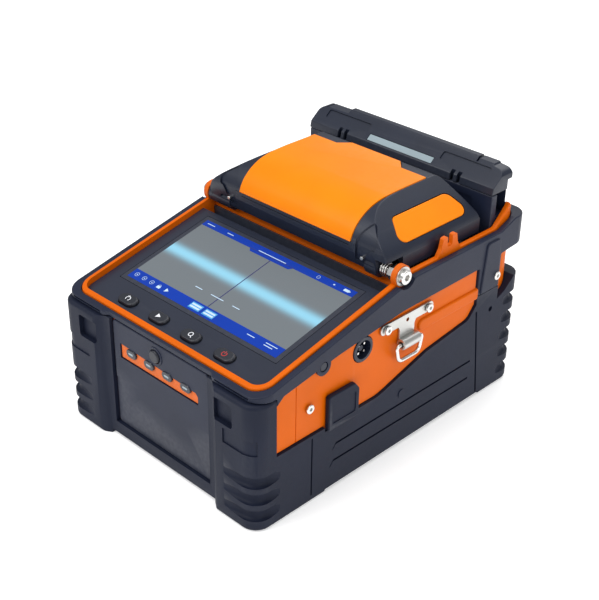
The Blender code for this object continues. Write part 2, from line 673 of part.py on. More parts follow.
def top_inlay(name, grow):
    """The amber skin let into the top of the cover, with its tongue at the back."""
    closed = cover_profile() + [(cover_back, cover_foot), (hinge_y - 4.4, cover_foot)]
    under = inset(closed[::-1], inlay_thick + grow)[::-1][3:8]
    edge = 109.0 - grow
    end = cover_back - 10.6 + grow
    out = 3.0 if grow else 0.0
    over = [(y - out, z + out) for y, z in cover_profile()[3:8]]
    inner = [(hinge_y - 5.75 + inlay_thick + grow, edge)] + under + [(end, cover_top - inlay_thick - grow)]
    outer = [(hinge_y - 5.75 - out, edge)] + over + [(end, cover_top + out)]
    skin = plate(name, inner + outer[::-1], -39.2 - grow, 39.2 + grow, "X")
    tail = cover_back - 17.0 + grow
    for side in (-1, 1):
        corner = [(16.7 + grow, tail + 6.4), (16.7 + grow, rear), (50.0, rear), (50.0, tail), (22.8 + grow, tail)]
        cut(skin, plate(f"{name}_corner_{side}", [(side * x, y) for x, y in corner], 100.0, 140.0, "Z"))
    return skin


def side_inlay(name, side, grow):
    """The amber panel let into one shoulder, drawn flat and laid on the slope."""
    centre_x = (cover_flat_half + cover_half_width - 1.6) / 2
    centre_z = (cover_top + 108.6) / 2
    near_y, far_y = hinge_y + 14.0, cover_back - 12.6
    slant = 5.6
    reach = 6.3
    shift = 5.4
    outline = [(shift - reach, near_y), (shift + reach, near_y - slant), (shift + reach, far_y + slant), (shift - reach, far_y)]
    outline = fillet(outline, [4.0, 4.0, 4.0, 5.0])
    if grow:
        outline = inset(outline, -grow)
    inlay = plate(name, [(side * s, y) for s, y in outline], -inlay_thick - grow, 3.0 if grow else 0.0, "Z")
    turn = Matrix.Rotation(side * shoulder_angle, 4, "Y")
    inlay.matrix_world = Matrix.Translation(Vector((side * centre_x, 0, centre_z)) * MM) @ turn
    return inlay


def make_wind_cover():
    hinge = frame_at("wind_cover_hinge", (0, hinge_y, hinge_level))
    frame = cover_solid("wind_cover_frame", 0.0, cover_foot)
    cut(frame, cover_solid("cover_hollow", cover_wall, cover_foot - 20))
    cut(frame, top_inlay("top_pocket", GAP))
    top = top_inlay("wind_cover_panel", 0.0)
    inlays = []
    for side, label in ((-1, "left"), (1, "right")):
        cut(frame, side_inlay(f"side_pocket_{label}", side, GAP))
        inlays.append(side_inlay(f"wind_cover_insert_{label}", side, 0.0))
    room = spring_start
    cut(frame, block("spring_room", (room, hinge_y - 12, 90.0), (cover_half_width + 5, hinge_y + 6.4, 104.8)))
    add(frame, rod("barrel_right", "X", room - 7.8, room - GAP, (hinge_y, hinge_level), barrel_radius, 20))
    add(frame, rod("barrel_left", "X", -heater_half, -room + 7.8, (hinge_y, hinge_level), barrel_radius, 20))
    cut(frame, rod("barrel_bore", "X", -half, half, (hinge_y, hinge_level), bolt_radius + GAP, 12))
    cut(frame, block("fibre_notches", (-half, fibre_y - 1.8, 90.0), (half, fibre_y + 1.8, fibre_z + 1.5)))
    pads = []
    for side, label in ((-1, "left"), (1, "right")):
        near, far = sorted((side * 8.0, side * 16.0))
        pads.append(block(f"fibre_presser_{label}", (near, fibre_y - 4.5, fibre_z + 2.7),
                          (far, fibre_y + 4.5, cover_top - cover_wall - GAP)))
    hang_on(hinge, frame, top, *pads)
    for inlay in inlays:
        world = inlay.matrix_world.copy()
        inlay.parent = hinge
        inlay.matrix_parent_inverse = hinge.matrix_world.inverted()
        inlay.matrix_basis = world
    dress(dark, frame, *pads)
    dress(amber, top, *inlays)
    for side, label in ((-1, "left"), (1, "right")):
        near, far = sorted((side * (room - 8.8), side * (shell_half + 1.6)))
        bolt = rod(f"hinge_bolt_{label}", "X", near, far, (hinge_y, hinge_level), bolt_radius, 12)
        near, far = sorted((side * (shell_half + 0.5 + GAP), side * (half - 0.6)))
        add(bolt, rod(f"bolt_head_{label}", "X", near, far, (hinge_y, hinge_level), 3.6, 16))
        near, far = sorted((side * (half - 2.6), side * half))
        cut(bolt, rod(f"bolt_socket_{label}", "X", near, far, (hinge_y, hinge_level), 1.7, 6))
        dress(steel, bolt)
    nut = rod("hinge_nut", "X", shell_inner - 4.0, shell_inner - GAP, (hinge_y, hinge_level), 4.2, 6)
    cut(nut, rod("nut_bore", "X", room - 0.8, half, (hinge_y, hinge_level), bolt_radius + GAP, 12))
    turns, pitch, per_turn, coil = 3, 1.4, 12, 3.4
    start = room + 0.5
    points = [(start + pitch * i / per_turn, hinge_y + coil * math.cos(2 * math.pi * i / per_turn),
               hinge_level + coil * math.sin(2 * math.pi * i / per_turn)) for i in range(turns * per_turn + 1)]
    spring = wire("cover_spring", points, 0.45, sides=1)
    dress(steel, nut, spring)


def make_splice_head():
    deck_half = shell_inner - GAP
    deck = block("splice_deck", (-deck_half, deck_front, deck_top - 3.0), (deck_half, cover_back + 1.0, deck_top))
    cut(deck, block("head_opening", (-22.0, fibre_y - 16.0, 80.0), (22.0, fibre_y + 16.0, 90.0)))
    for side in (-1, 1):
        near, far = sorted((side * 26.0, side * 44.0))
        pad = block(f"clamp_seat_{side}", (near, fibre_y - 9.0, deck_top - 1.0), (far, fibre_y + 9.0, fibre_z - 0.5 - GAP))
        add(deck, pad)
    vee = block("v_groove_block", (-20.0, fibre_y - 13.5, 78.0), (20.0, fibre_y + 13.5, fibre_z))
    cut(vee, block("arc_gap", (-5.0, fibre_y - 15, 90.0), (5.0, fibre_y + 15, fibre_z + 5)))
    groove = plate("v_cut", [(fibre_y - 1.5, fibre_z + 1.0), (fibre_y, fibre_z - 1.2), (fibre_y + 1.5, fibre_z + 1.0)],
                   -25.0, 25.0, "X")
    cut(vee, groove)
    dress(ceramic, vee)
    tip_gap = 1.0
    for end, label in ((-1, "front"), (1, "rear")):
        tail = fibre_y + end * 13.5
        neck = fibre_y + end * (tip_gap + 3.0)
        tip = fibre_y + end * tip_gap
        near, far = sorted((tail, neck))
        electrode = rod(f"electrode_{label}", "Y", near, far, (0, fibre_z), 1.1, 10)
        radii = (1.1, 0.2) if end < 0 else (0.2, 1.1)
        near, far = sorted((neck - end * 0.5 * -1, tip))
        add(electrode, rod(f"electrode_tip_{label}", "Y", near, far, (0, fibre_z), radii[0], 10, radii[1]))
        near, far = sorted((fibre_y + end * 8.0, fibre_y + end * 14.5))
        clamp = block(f"electrode_clamp_{label}", (-4.5, near, 90.3), (4.5, far, fibre_z + 2.2))
        cut(clamp, rod(f"electrode_bore_{label}", "Y", near - 2, far + 2, (0, fibre_z), 1.1 + GAP, 10))
        dress(steel, electrode, clamp)
    scope = block("microscope_module", (-14.0, fibre_y - 9.5, 50.0), (14.0, fibre_y + 9.5, 72.0))
    add(scope, rod("lens_barrel", "Z", 71.0, 77.5, (0, fibre_y), 5.0, 16))
    dress(dark, scope)
    for side, label in ((-1, "left"), (1, "right")):
        near, far = sorted((side * 27.0, side * 43.0))
        axis_y, axis_z = fibre_y + 5.5, fibre_z + 0.7
        hinge = frame_at(f"sheath_clamp_{label}_hinge", (side * 35.0, axis_y, axis_z))
        clamp = block(f"sheath_clamp_{label}", (near, fibre_y - 5.5, fibre_z - 0.5), (far, axis_y, fibre_z + 1.9))
        add(clamp, rod(f"clamp_roll_{label}", "X", near, far, (axis_y, axis_z), 1.2, 12))
        cut(clamp, block(f"sheath_channel_{label}", (near - 1, fibre_y - 1.2, fibre_z - 2), (far + 1, fibre_y + 1.2, fibre_z + 0.6)))
        hang_on(hinge, clamp)
        dress(steel, clamp)
    dress(steel, deck)
    board = block("main_board", (-55.0, battery_back + 5.0, 14.0), (55.0, shell_rear - shell_wall - 4.0, 15.6))
    arc = block("arc_module", (-40.0, hinge_y + 2.0, 15.6 + GAP), (-5.0, hinge_y + 50.0, 38.0))
    dress(board_green, board)
    dress(dark, arc)


battery_back = front + 8.5 + battery_depth


def make_heater():
    base = block("heater_base", (-heater_half, heater_front, 80.0), (heater_half, heater_back, heater_base_top))
    keep_inside(base, plate("base_corners", rounded_rect(-heater_half, heater_half, hinge_y, heater_back,
                                                         boot_radius - shell_wall), 70.0, 130.0, "Z"))
    cut(base, block("heater_channel", (-heater_half - 1, heater_front + 4.0, 103.0),
                    (heater_half + 1, heater_back - 4.2, heater_base_top + 1)))
    tray_outer = (heater_front + 4.0 + GAP, heater_back - 4.2 - GAP)
    tray = block("heater_tray", (-32.0, tray_outer[0], 103.0 + GAP), (32.0, tray_outer[1], 112.0))
    cut(tray, block("tray_groove", (-33.0, tray_outer[0] + 1.0, 104.3), (33.0, tray_outer[1] - 1.0, 115.0)))
    axis_y, axis_z = heater_back - 1.0, heater_base_top + 3.2
    hinge = frame_at("heater_lid_hinge", (0, axis_y, axis_z))
    bottom = heater_base_top + 0.4
    profile = [(heater_front - 0.4, bottom), (axis_y - 2.5, bottom), (axis_y - 2.5, axis_z + 2.5), (heater_back, axis_z + 2.5),
               (heater_back, heater_top), (heater_front + 11.8, heater_top), (heater_front + 10.4, heater_top - 1.2),
               (heater_front + 0.4, 119.4)]
    lid = plate("heater_lid", profile, -heater_half, heater_half, "X")
    low_corner = axis_z + 2.6
    ends = fillet([(-heater_half - 1, bottom - 5), (heater_half + 1, bottom - 5), (heater_half + 1, heater_top - 2.4),
                   (56.0, heater_top - 2.4), (55.0, heater_top + 5), (-59.0, heater_top + 5), (-60.0, heater_top - 2.4),
                   (-heater_half - 1, heater_top - 2.4)], [0, 0, 6.0, 0, 0, 0, 0, 3.0])
    keep_inside(lid, plate("lid_ends", ends, heater_front - 5, rear + 5, "Y"))
    cut(lid, block("lid_notch", (-44.0, heater_front + 10.0, low_corner), (-38.0, rear, heater_top + 5)))
    cut(lid, block("lid_hollow", (-58.0, heater_front + 3.5, bottom - 1), (58.0, heater_front + 12.0, 121.0)))
    for number, x in enumerate((-42.0, -37.6, 37.6, 42.0)):
        cut(lid, block(f"finger_slot_{number}", (x - 1.2, heater_front - 2, 115.0), (x + 1.2, heater_front + 2.4, 130.0)))
    knuckles = rod("lid_knuckles", "X", -46.0, 46.0, (axis_y, axis_z), 1.9, 12)
    add(lid, knuckles)
    web = block("lid_web", (-46.0, axis_y - 1.0, axis_z), (46.0, axis_y + 1.0, axis_z + 3.0))
    add(lid, web)
    cut(lid, rod("lid_pin_bore", "X", -50.0, 50.0, (axis_y, axis_z), 0.8 + GAP, 8))
    pin = rod("heater_hinge_pin", "X", -52.0, 52.0, (axis_y, axis_z), 0.8, 8)
    for side in (-1, 1):
        near, far = sorted((side * 48.0, side * 54.0))
        lug = block(f"pin_lug_{side}", (near, axis_y - 1.7, heater_base_top - 1), (far, axis_y + 0.8, axis_z + 1.7))
        add(base, lug)
    cut(base, rod("base_pin_bore", "X", -52.4, 52.4, (axis_y, axis_z), 0.8 + GAP, 8))
    slant = math.atan2(heater_top - 1.2 - 119.4, 10.0)
    strip_seat = Matrix.Translation(Vector((0, heater_front + 2.6, 119.4 + 2.2 * math.tan(slant))) * MM)
    strip_seat = strip_seat @ Matrix.Rotation(slant, 4, "X")
    pocket = block("strip_pocket", (-22.5 - GAP, -1.9 - GAP, -0.8 - GAP), (22.5 + GAP, 1.9 + GAP, 3.0))
    strip = block("heater_lid_strip", (-22.5, -1.9, -0.8), (22.5, 1.9, 0.0))
    cut(lid, pocket)
    for obj in (pocket, strip):
        obj.matrix_world = strip_seat
    hang_on(hinge, lid)
    strip.parent = hinge
    strip.matrix_parent_inverse = hinge.matrix_world.inverted()
    dress(dark, base, lid)
    dress(steel, tray, pin)
    dress(strip_white, strip)


make_shell()
make_boot()
make_top_frame()
make_panel()
make_battery()
make_ports()
for side_sign, side_name in ((-1, "left"), (1, "right")):
    make_strap_ring(side_sign, side_name)
    make_screw(f"side_screw_{side_name}", side_sign, side_screw, pad_face)
    make_screw(f"post_screw_{side_name}", side_sign, post_screw, half)
make_wind_cover()
make_splice_head()
make_heater()
bpy.context.view_layer.update()
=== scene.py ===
import math

import bpy
from mathutils import Matrix, Vector


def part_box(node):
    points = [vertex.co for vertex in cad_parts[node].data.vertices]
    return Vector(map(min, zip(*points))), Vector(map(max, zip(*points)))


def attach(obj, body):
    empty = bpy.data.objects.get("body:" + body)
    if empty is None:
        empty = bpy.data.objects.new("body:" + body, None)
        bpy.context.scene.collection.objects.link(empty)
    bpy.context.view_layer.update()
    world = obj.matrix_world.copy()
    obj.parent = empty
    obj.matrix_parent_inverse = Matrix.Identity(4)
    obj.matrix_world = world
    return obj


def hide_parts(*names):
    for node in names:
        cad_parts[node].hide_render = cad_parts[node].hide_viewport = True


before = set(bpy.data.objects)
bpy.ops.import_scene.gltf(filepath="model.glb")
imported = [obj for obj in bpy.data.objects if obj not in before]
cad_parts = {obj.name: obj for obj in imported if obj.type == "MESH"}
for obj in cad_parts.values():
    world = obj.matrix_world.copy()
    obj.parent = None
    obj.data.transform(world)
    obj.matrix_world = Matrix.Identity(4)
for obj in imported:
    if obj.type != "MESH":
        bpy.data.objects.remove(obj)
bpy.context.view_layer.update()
mm = 0.001
past = 90.0  # a cutter this wide passes both sides of the case


def boxMm(node):
    low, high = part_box(node)
    return Vector(low) / mm, Vector(high) / mm


# millimetres; places are (y, z)
layout = {
    "sideWall": 3.5, "frontWall": 6.5, "rearWall": 5.5,  # rubber boot
    "shellGap": 0.3,
    "fieldStep": 2.6,  # the side fields stand this far out of the shell
    "hinge": (1.35, 98.6),
    "lidFrontStep": 0.4, "knuckleStep": 0.9,  # lid past the heater base, front and back
    "windowFront": 13.7, "postFront": 39.5, "postBack": 21.5,  # from the front, from the rear
    "panel": (-41.7, 83.7), "tilt": 12.8,
    "rimRise": 2.8, "rimLevel": 98.0, "shoulderLevel": 109.0,
    "fibreStep": 2.8,
    "bracket": (2.85, 76.2), "ringReach": 3.3, "ringZ": 64.5,
}

# sizes of the frame
bootLow, bootHigh = boxMm("rubber_boot")
coverHigh = boxMm("wind_cover_frame")[1]
lidLow, lidHigh = boxMm("heater_lid")
batteryLow, batteryHigh = boxMm("battery_front")
usbLow, usbHigh = boxMm("usb_cover")
dcLow, dcHigh = boxMm("dc_socket")
half, front, rear, bootTop = bootHigh.x, bootLow.y, bootHigh.y, bootHigh.z
innerHalf = half - layout["sideWall"]
innerFront, innerRear = front + layout["frontWall"], rear - layout["rearWall"]
shellHalf = innerHalf - layout["shellGap"]
shellFront, shellRear = innerFront + layout["shellGap"], innerRear - layout["shellGap"]
padFace = shellHalf + layout["fieldStep"]
hingeY, hingeZ = layout["hinge"]
coverHalf, coverBack, coverTop = coverHigh.x, coverHigh.y, coverHigh.z
heaterFront, heaterBack = lidLow.y + layout["lidFrontStep"], lidHigh.y - layout["knuckleStep"]
windowFront = front + layout["windowFront"]
postFront, postBack = rear - layout["postFront"], rear - layout["postBack"]
panelY, panelLevel = layout["panel"]
tilt = math.radians(layout["tilt"])
rimLevel, shoulderLevel = layout["rimLevel"], layout["shoulderLevel"]
fibreY = (hingeY + coverBack) / 2 + layout["fibreStep"]
rimBend = panelY + (rimLevel - layout["rimRise"] / math.cos(tilt) - panelLevel) / math.tan(tilt)
dcY, dcZ = (dcLow.y + dcHigh.y) / 2, (dcLow.z + dcHigh.z) / 2
bracketY, bracketZ = layout["bracket"]
ringX, ringZ = padFace + layout["ringReach"], layout["ringZ"]
usbFront, usbBack, usbBottom, usbTop = usbLow.y, usbHigh.y, usbLow.z, usbHigh.z


def slope(y):
    return panelLevel + (y - panelY) * math.tan(tilt)


def rim(y):
    return slope(y) + layout["rimRise"] / math.cos(tilt)


def deselect():
    bpy.ops.object.select_all(action="DESELECT")


def only(obj):
    deselect()
    obj.select_set(True)
    bpy.context.view_layer.objects.active = obj


def applyTransform(obj):
    only(obj)
    bpy.ops.object.transform_apply(location=True, rotation=True, scale=True)
    return obj


def applyModifiers(obj):
    only(obj)
    for modifier in list(obj.modifiers):
        bpy.ops.object.modifier_apply(modifier=modifier.name)
    return obj


# turns that lay a slab's thickness along an axis
axisTurns = {"Z": Matrix.Identity(4),
             "X": Matrix(((0, 0, 1, 0), (1, 0, 0, 0), (0, 1, 0, 0), (0, 0, 0, 1))),
             "Y": Matrix(((1, 0, 0, 0), (0, 0, 1, 0), (0, 1, 0, 0), (0, 0, 0, 1)))}


def slab(name, outline, start, stop, axis="Z"):
    deselect()
    bpy.ops.mesh.primitive_circle_add(vertices=len(outline), fill_type="NGON")
    obj = bpy.context.object
    obj.name = name
    for vertex, (a, b) in zip(obj.data.vertices, outline):
        vertex.co = (a * mm, b * mm, start * mm)
    bpy.ops.object.mode_set(mode="EDIT")
    bpy.ops.mesh.select_all(action="SELECT")
    bpy.ops.mesh.extrude_region_move(TRANSFORM_OT_translate={"value": (0, 0, (stop - start) * mm)})
    bpy.ops.object.mode_set(mode="OBJECT")
    obj.matrix_world = axisTurns[axis]
    applyTransform(obj)
    bpy.ops.object.mode_set(mode="EDIT")
    bpy.ops.mesh.select_all(action="SELECT")
    bpy.ops.mesh.normals_make_consistent(inside=False)
    bpy.ops.object.mode_set(mode="OBJECT")
    return obj


def through(name, outline):
    return slab(name, outline, -past, past, "X")


def brick(name, low, high):
    deselect()
    centre = [(a + b) / 2 * mm for a, b in zip(low, high)]
    bpy.ops.mesh.primitive_cube_add(size=1.0, location=centre)
    obj = bpy.context.object
    obj.name = name
    obj.scale = [(b - a) * mm for a, b in zip(low, high)]
    return applyTransform(obj)


def rod(name, axis, start, stop, centre, radius, sides=40):
    deselect()
    middle = (start + stop) / 2
    where = {"X": (middle, *centre), "Y": (centre[0], middle, centre[1])}[axis]
    turn = {"X": (0, math.pi / 2, 0), "Y": (-math.pi / 2, 0, 0)}[axis]
    bpy.ops.mesh.primitive_cone_add(vertices=sides, radius1=radius * mm, radius2=radius * mm,
                                    depth=(stop - start) * mm, location=Vector(where) * mm, rotation=turn)
    obj = bpy.context.object
    obj.name = name
    return applyTransform(obj)


def between(side, near, far):
    # the stretch from near to far on the left (-1) or the right (1)
    return sorted((side * near, side * far))


def tube(name, points, radius, closed=False, sides=6):
    deselect()
    bpy.ops.curve.primitive_bezier_curve_add()
    obj = bpy.context.object
    obj.name = name
    curve = obj.data
    curve.splines.clear()
    spline = curve.splines.new("POLY")
    spline.points.add(len(points) - 1)
    for point, where in zip(spline.points, points):
        point.co = (*(Vector(where) * mm), 1)
    spline.use_cyclic_u = closed
    curve.dimensions = "3D"
    curve.bevel_depth = radius * mm
    curve.bevel_resolution = sides
    curve.use_fill_caps = not closed
    only(obj)
    bpy.ops.object.convert(target="MESH")
    return bpy.context.object


def combine(target, other, operation):
    modifier = target.modifiers.new("combine", "BOOLEAN")
    modifier.operation = operation
    modifier.solver = "MANIFOLD"
    modifier.object = other
    applyModifiers(target)
    bpy.data.objects.remove(other, do_unlink=True)


def cut(target, *tools):
    for tool in tools:
        combine(target, tool, "DIFFERENCE")


def add(target, *pieces):
    for piece in pieces:
        combine(target, piece, "UNION")


def keepInside(target, tool):
    combine(target, tool, "INTERSECT")


def soften(obj, width, segments=2, angle=32):
    # slivers left by the cuts are merged first, or they would hold the bevel back
    only(obj)
    bpy.ops.object.mode_set(mode="EDIT")
    bpy.ops.mesh.select_all(action="SELECT")
    bpy.ops.mesh.remove_doubles(threshold=0.1 * mm)
    bpy.ops.mesh.dissolve_limited(angle_limit=math.radians(0.5))
    bpy.ops.object.mode_set(mode="OBJECT")
    modifier = obj.modifiers.new("soften", "BEVEL")
    modifier.width = width * mm
    modifier.segments = segments
    modifier.limit_method = "ANGLE"
    modifier.angle_limit = math.radians(angle)
    modifier.use_clamp_overlap = True
    modifier.miter_outer = "MITER_ARC" if segments > 2 else "MITER_SHARP"
    return applyModifiers(obj)


def triangulate(obj):
    obj.modifiers.new("triangles", "TRIANGULATE")
    return applyModifiers(obj)


def joinAll(name, pieces):
    deselect()
    for piece in pieces:
        piece.select_set(True)
    bpy.context.view_layer.objects.active = pieces[0]
    bpy.ops.object.join()
    pieces[0].name = name
    return pieces[0]


def place(obj, material, body, slotName, *nodes, smooth=35):
    only(obj)
    bpy.ops.object.shade_smooth_by_angle(angle=math.radians(smooth))
    even = obj.modifiers.new("even", "WEIGHTED_NORMAL")
    even.keep_sharp = True
    applyModifiers(obj)
    obj.data.materials.clear()
    obj.data.materials.append(material)
    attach(obj, body)
    if nodes:
        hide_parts(*nodes)


def arc(centre, radius, start, stop, steps=12):
    angles = [math.radians(start + (stop - start) * i / steps) for i in range(steps + 1)]
    return [(centre[0] + radius * math.cos(a), centre[1] + radius * math.sin(a)) for a in angles]


def roundedRect(x0, x1, y0, y1, radius, steps=12):
    corners = (((x1 - radius, y1 - radius), 0), ((x0 + radius, y1 - radius), 90),
               ((x0 + radius, y0 + radius), 180), ((x1 - radius, y0 + radius), 270))
    return [point for centre, start in corners for point in arc(centre, radius, start, start + 90, steps)]


def rect(x0, x1, y0, y1):
    return [(x0, y0), (x1, y0), (x1, y1), (x0, y1)]


def stadium(x, y, length, width, steps=12):
    reach = (length - width) / 2
    return arc((x + reach, y), width / 2, -90, 90, steps) + arc((x - reach, y), width / 2, 90, 270, steps)


def fillet(points, radii, steps=8):
    result = []
    for i, radius in enumerate(radii):
        here = Vector(points[i])
        before = (Vector(points[i - 1]) - here).normalized()
        after = (Vector(points[(i + 1) % len(points)]) - here).normalized()
        if radius == 0:
            result.append(tuple(here))
            continue
        angle = before.angle(after)
        reach = radius / math.tan(angle / 2)
        centre = here + (before + after).normalized() * (radius / math.sin(angle / 2))
        first, last = here + before * reach - centre, here + after * reach - centre
        for step in range(steps + 1):
            ray = first.slerp(last, step / steps)
            result.append(tuple(centre + ray.normalized() * radius))
    return result


def inset(points, distance):
    count = len(points)
    sides = []
    for i in range(count):
        a, b = Vector(points[i]), Vector(points[(i + 1) % count])
        along = (b - a).normalized()
        sides.append((a + Vector((-along.y, along.x)) * distance, along))
    result = []
    for i in range(count):
        (p, d), (q, e) = sides[i - 1], sides[i]
        cross = d.x * e.y - d.y * e.x
        if abs(cross) < 1e-4:
            result.append(tuple(q))
            continue
        result.append(tuple(p + d * (((q.x - p.x) * e.y - (q.y - p.y) * e.x) / cross)))
    return result


def smoothLine(points, steps=5):
    # a Catmull-Rom curve through the points
    result = []
    count = len(points)
    for i in range(count - 1):
        p0, p1 = Vector(points[max(i - 1, 0)]), Vector(points[i])
        p2, p3 = Vector(points[i + 1]), Vector(points[min(i + 2, count - 1)])
        for step in range(steps):
            t = step / steps
            result.append(tuple(0.5 * (2 * p1 + (p2 - p0) * t + (2 * p0 - 5 * p1 + 4 * p2 - p3) * t * t
                                       + (3 * p1 - p0 - 3 * p2 + p3) * t * t * t)))
    return result + [tuple(points[-1])]


def newGroup(name, inputs, outputs):
    group = bpy.data.node_groups.new(name, "ShaderNodeTree")
    for direction, sockets in (("INPUT", inputs), ("OUTPUT", outputs)):
        for label, kind in sockets.items():
            group.interface.new_socket(label, in_out=direction, socket_type="NodeSocket" + kind)
    return group, group.nodes.new("NodeGroupInput"), group.nodes.new("NodeGroupOutput")


def newNode(tree, kind, values=None, **settings):
    node = tree.nodes.new("ShaderNode" + kind)
    for setting, value in settings.items():
        setattr(node, setting, value)
    for socket, value in (values or {}).items():
        node.inputs[socket].default_value = value
    return node


def connect(tree, *links):
    for source, output, target, socket in links:
        tree.links.new(source.outputs[output], target.inputs[socket])


def grainGroup():
    group, entry, leave = newGroup("grain", {"Scale": "Float", "Depth": "Float"}, {"Normal": "Vector"})
    where = newNode(group, "TexCoord")
    noise = newNode(group, "TexNoise", {"Detail": 3.0})
    bump = newNode(group, "Bump", {"Distance": 0.0002})
    connect(group, (where, "Object", noise, "Vector"), (entry, "Scale", noise, "Scale"),
            (noise, "Fac", bump, "Height"), (entry, "Depth", bump, "Strength"),
            (bump, "Normal", leave, "Normal"))
    return group


def finishGroup():
    # slow colour change, paler worn edges and uneven gloss
    inputs = {"Colour": "Color", "Second": "Color", "Worn": "Color", "Scale": "Float", "Edge": "Float",
              "Roughness": "Float", "Uneven": "Float"}
    group, entry, leave = newGroup("finish", inputs, {"Colour": "Color", "Roughness": "Float"})
    where, shape = newNode(group, "TexCoord"), newNode(group, "NewGeometry")
    broad = newNode(group, "TexNoise", {"Detail": 4.0})
    fine = newNode(group, "TexNoise", {"Scale": 420.0})
    spread = newNode(group, "MapRange", {"From Min": 0.35, "From Max": 0.65})
    edges = newNode(group, "MapRange", {"From Min": 0.55, "From Max": 0.68})
    rubbed, amount = [newNode(group, "Math", operation="MULTIPLY") for number in range(2)]
    blend, wear = [newNode(group, "Mix", data_type="RGBA") for number in range(2)]
    swing = newNode(group, "Math", operation="MULTIPLY_ADD")
    connect(group, (where, "Object", broad, "Vector"), (where, "Object", fine, "Vector"),
            (entry, "Scale", broad, "Scale"), (broad, "Fac", spread, "Value"),
            (spread, "Result", blend, "Factor"), (entry, "Colour", blend, "A"), (entry, "Second", blend, "B"),
            (shape, "Pointiness", edges, "Value"), (edges, "Result", rubbed, 0), (fine, "Fac", rubbed, 1),
            (rubbed, 0, amount, 0), (entry, "Edge", amount, 1), (amount, 0, wear, "Factor"),
            (blend, "Result", wear, "A"), (entry, "Worn", wear, "B"), (wear, "Result", leave, "Colour"),
            (fine, "Fac", swing, 0), (entry, "Uneven", swing, 1), (entry, "Roughness", swing, 2),
            (swing, 0, leave, "Roughness"))
    return group


grain = grainGroup()
finish = finishGroup()
broadScale, wornLift, coatRoughness = 38.0, 0.22, 0.2


def makeMaterial(name, colour, roughness, metallic=0.0, scale=2500.0, depth=0.05, coat=0.0, glow=0.0,
                 edge=0.25, uneven=0.06, gloss=0.5, spread=0.16):
    material = bpy.data.materials.new(name)
    material.use_nodes = True
    tree = material.node_tree
    shader = tree.nodes["Principled BSDF"]
    for socket, value in (("Metallic", metallic), ("Specular IOR Level", gloss), ("Coat Weight", coat),
                          ("Coat Roughness", coatRoughness)):
        shader.inputs[socket].default_value = value
    look, bumps = tree.nodes.new("ShaderNodeGroup"), tree.nodes.new("ShaderNodeGroup")
    look.node_tree, bumps.node_tree = finish, grain
    second = [channel * (1 - spread) for channel in colour]
    worn = [channel + (1 - channel) * wornLift for channel in colour]
    for socket, value in (("Colour", colour), ("Second", second), ("Worn", worn)):
        look.inputs[socket].default_value = (*value, 1)
    for socket, value in (("Scale", broadScale), ("Edge", edge), ("Roughness", roughness - uneven / 2),
                          ("Uneven", uneven)):
        look.inputs[socket].default_value = value
    bumps.inputs["Scale"].default_value = scale
    bumps.inputs["Depth"].default_value = depth
    connect(tree, (look, "Colour", shader, "Base Color"), (look, "Roughness", shader, "Roughness"),
            (bumps, "Normal", shader, "Normal"))
    if glow:
        shader.inputs["Emission Strength"].default_value = glow
        connect(tree, (look, "Colour", shader, "Emission Color"))
    return material


orange = makeMaterial("orange_plastic", (0.72, 0.125, 0.0), 0.42, depth=0.1, gloss=0.12, spread=0.1)
amber = makeMaterial("amber_plastic", (0.96, 0.24, 0.0), 0.38, coat=0.02, gloss=0.16, spread=0.08)
dark = makeMaterial("dark_plastic", (0.013, 0.018, 0.04), 0.44, depth=0.22, gloss=0.24)
barDark = makeMaterial("black_plastic", (0.012, 0.017, 0.034), 0.38, depth=0.14, gloss=0.4)
rubber = makeMaterial("rubber", (0.0085, 0.0125, 0.03), 0.55, scale=1800.0, depth=0.32, gloss=0.2)
panelDark = makeMaterial("panel_face", (0.02, 0.025, 0.043), 0.3, gloss=0.4, spread=0.08)
keyDark = makeMaterial("key_rubber", (0.012, 0.015, 0.024), 0.42, depth=0.1)
steel = makeMaterial("nickel", (0.74, 0.73, 0.71), 0.24, metallic=1.0, spread=0.06, edge=0.4)
brushed = makeMaterial("satin_steel", (0.62, 0.62, 0.6), 0.36, metallic=1.0, spread=0.08, edge=0.4)
stripGrey = makeMaterial("light_strip", (0.3, 0.38, 0.42), 0.32, spread=0.1)
lensDark = makeMaterial("lens_dark", (0.02, 0.023, 0.034), 0.25)
whiteMark = makeMaterial("white_mark", (0.8, 0.82, 0.86), 0.4, spread=0.06)
redMark = makeMaterial("red_mark", (0.5, 0.02, 0.02), 0.4, spread=0.1)
screenBlue = makeMaterial("screen_blue", (0.002, 0.028, 0.26), 0.25, glow=0.5, depth=0.02, edge=0.0,
                          spread=0.05, gloss=0.2)
screenNavy = makeMaterial("screen_navy", (0.006, 0.008, 0.1), 0.25, glow=0.3, depth=0.02, gloss=0.3)
screenWhite = makeMaterial("screen_white", (0.42, 0.56, 0.7), 0.3, glow=0.35, depth=0.02, spread=0.06)
screenCyan = makeMaterial("screen_cyan", (0.015, 0.22, 0.5), 0.3, glow=0.4, depth=0.02, spread=0.1)
ceramic = makeMaterial("ceramic", (0.8, 0.78, 0.72), 0.4, spread=0.06)
boardGreen = makeMaterial("circuit_board", (0.02, 0.12, 0.05), 0.5, spread=0.3)

screen = {
    "size": (56.7, 30.7), "picture": (54, 28.2),  # half width, half height
    "grey": (0.115, 0.132, 0.145), "fibre": (0.2, 0.44, 0.57),
    "fibreV": 1.2, "fibreSpread": 3.9,
    "topBar": 23.8, "lowBar": -21.4,
}


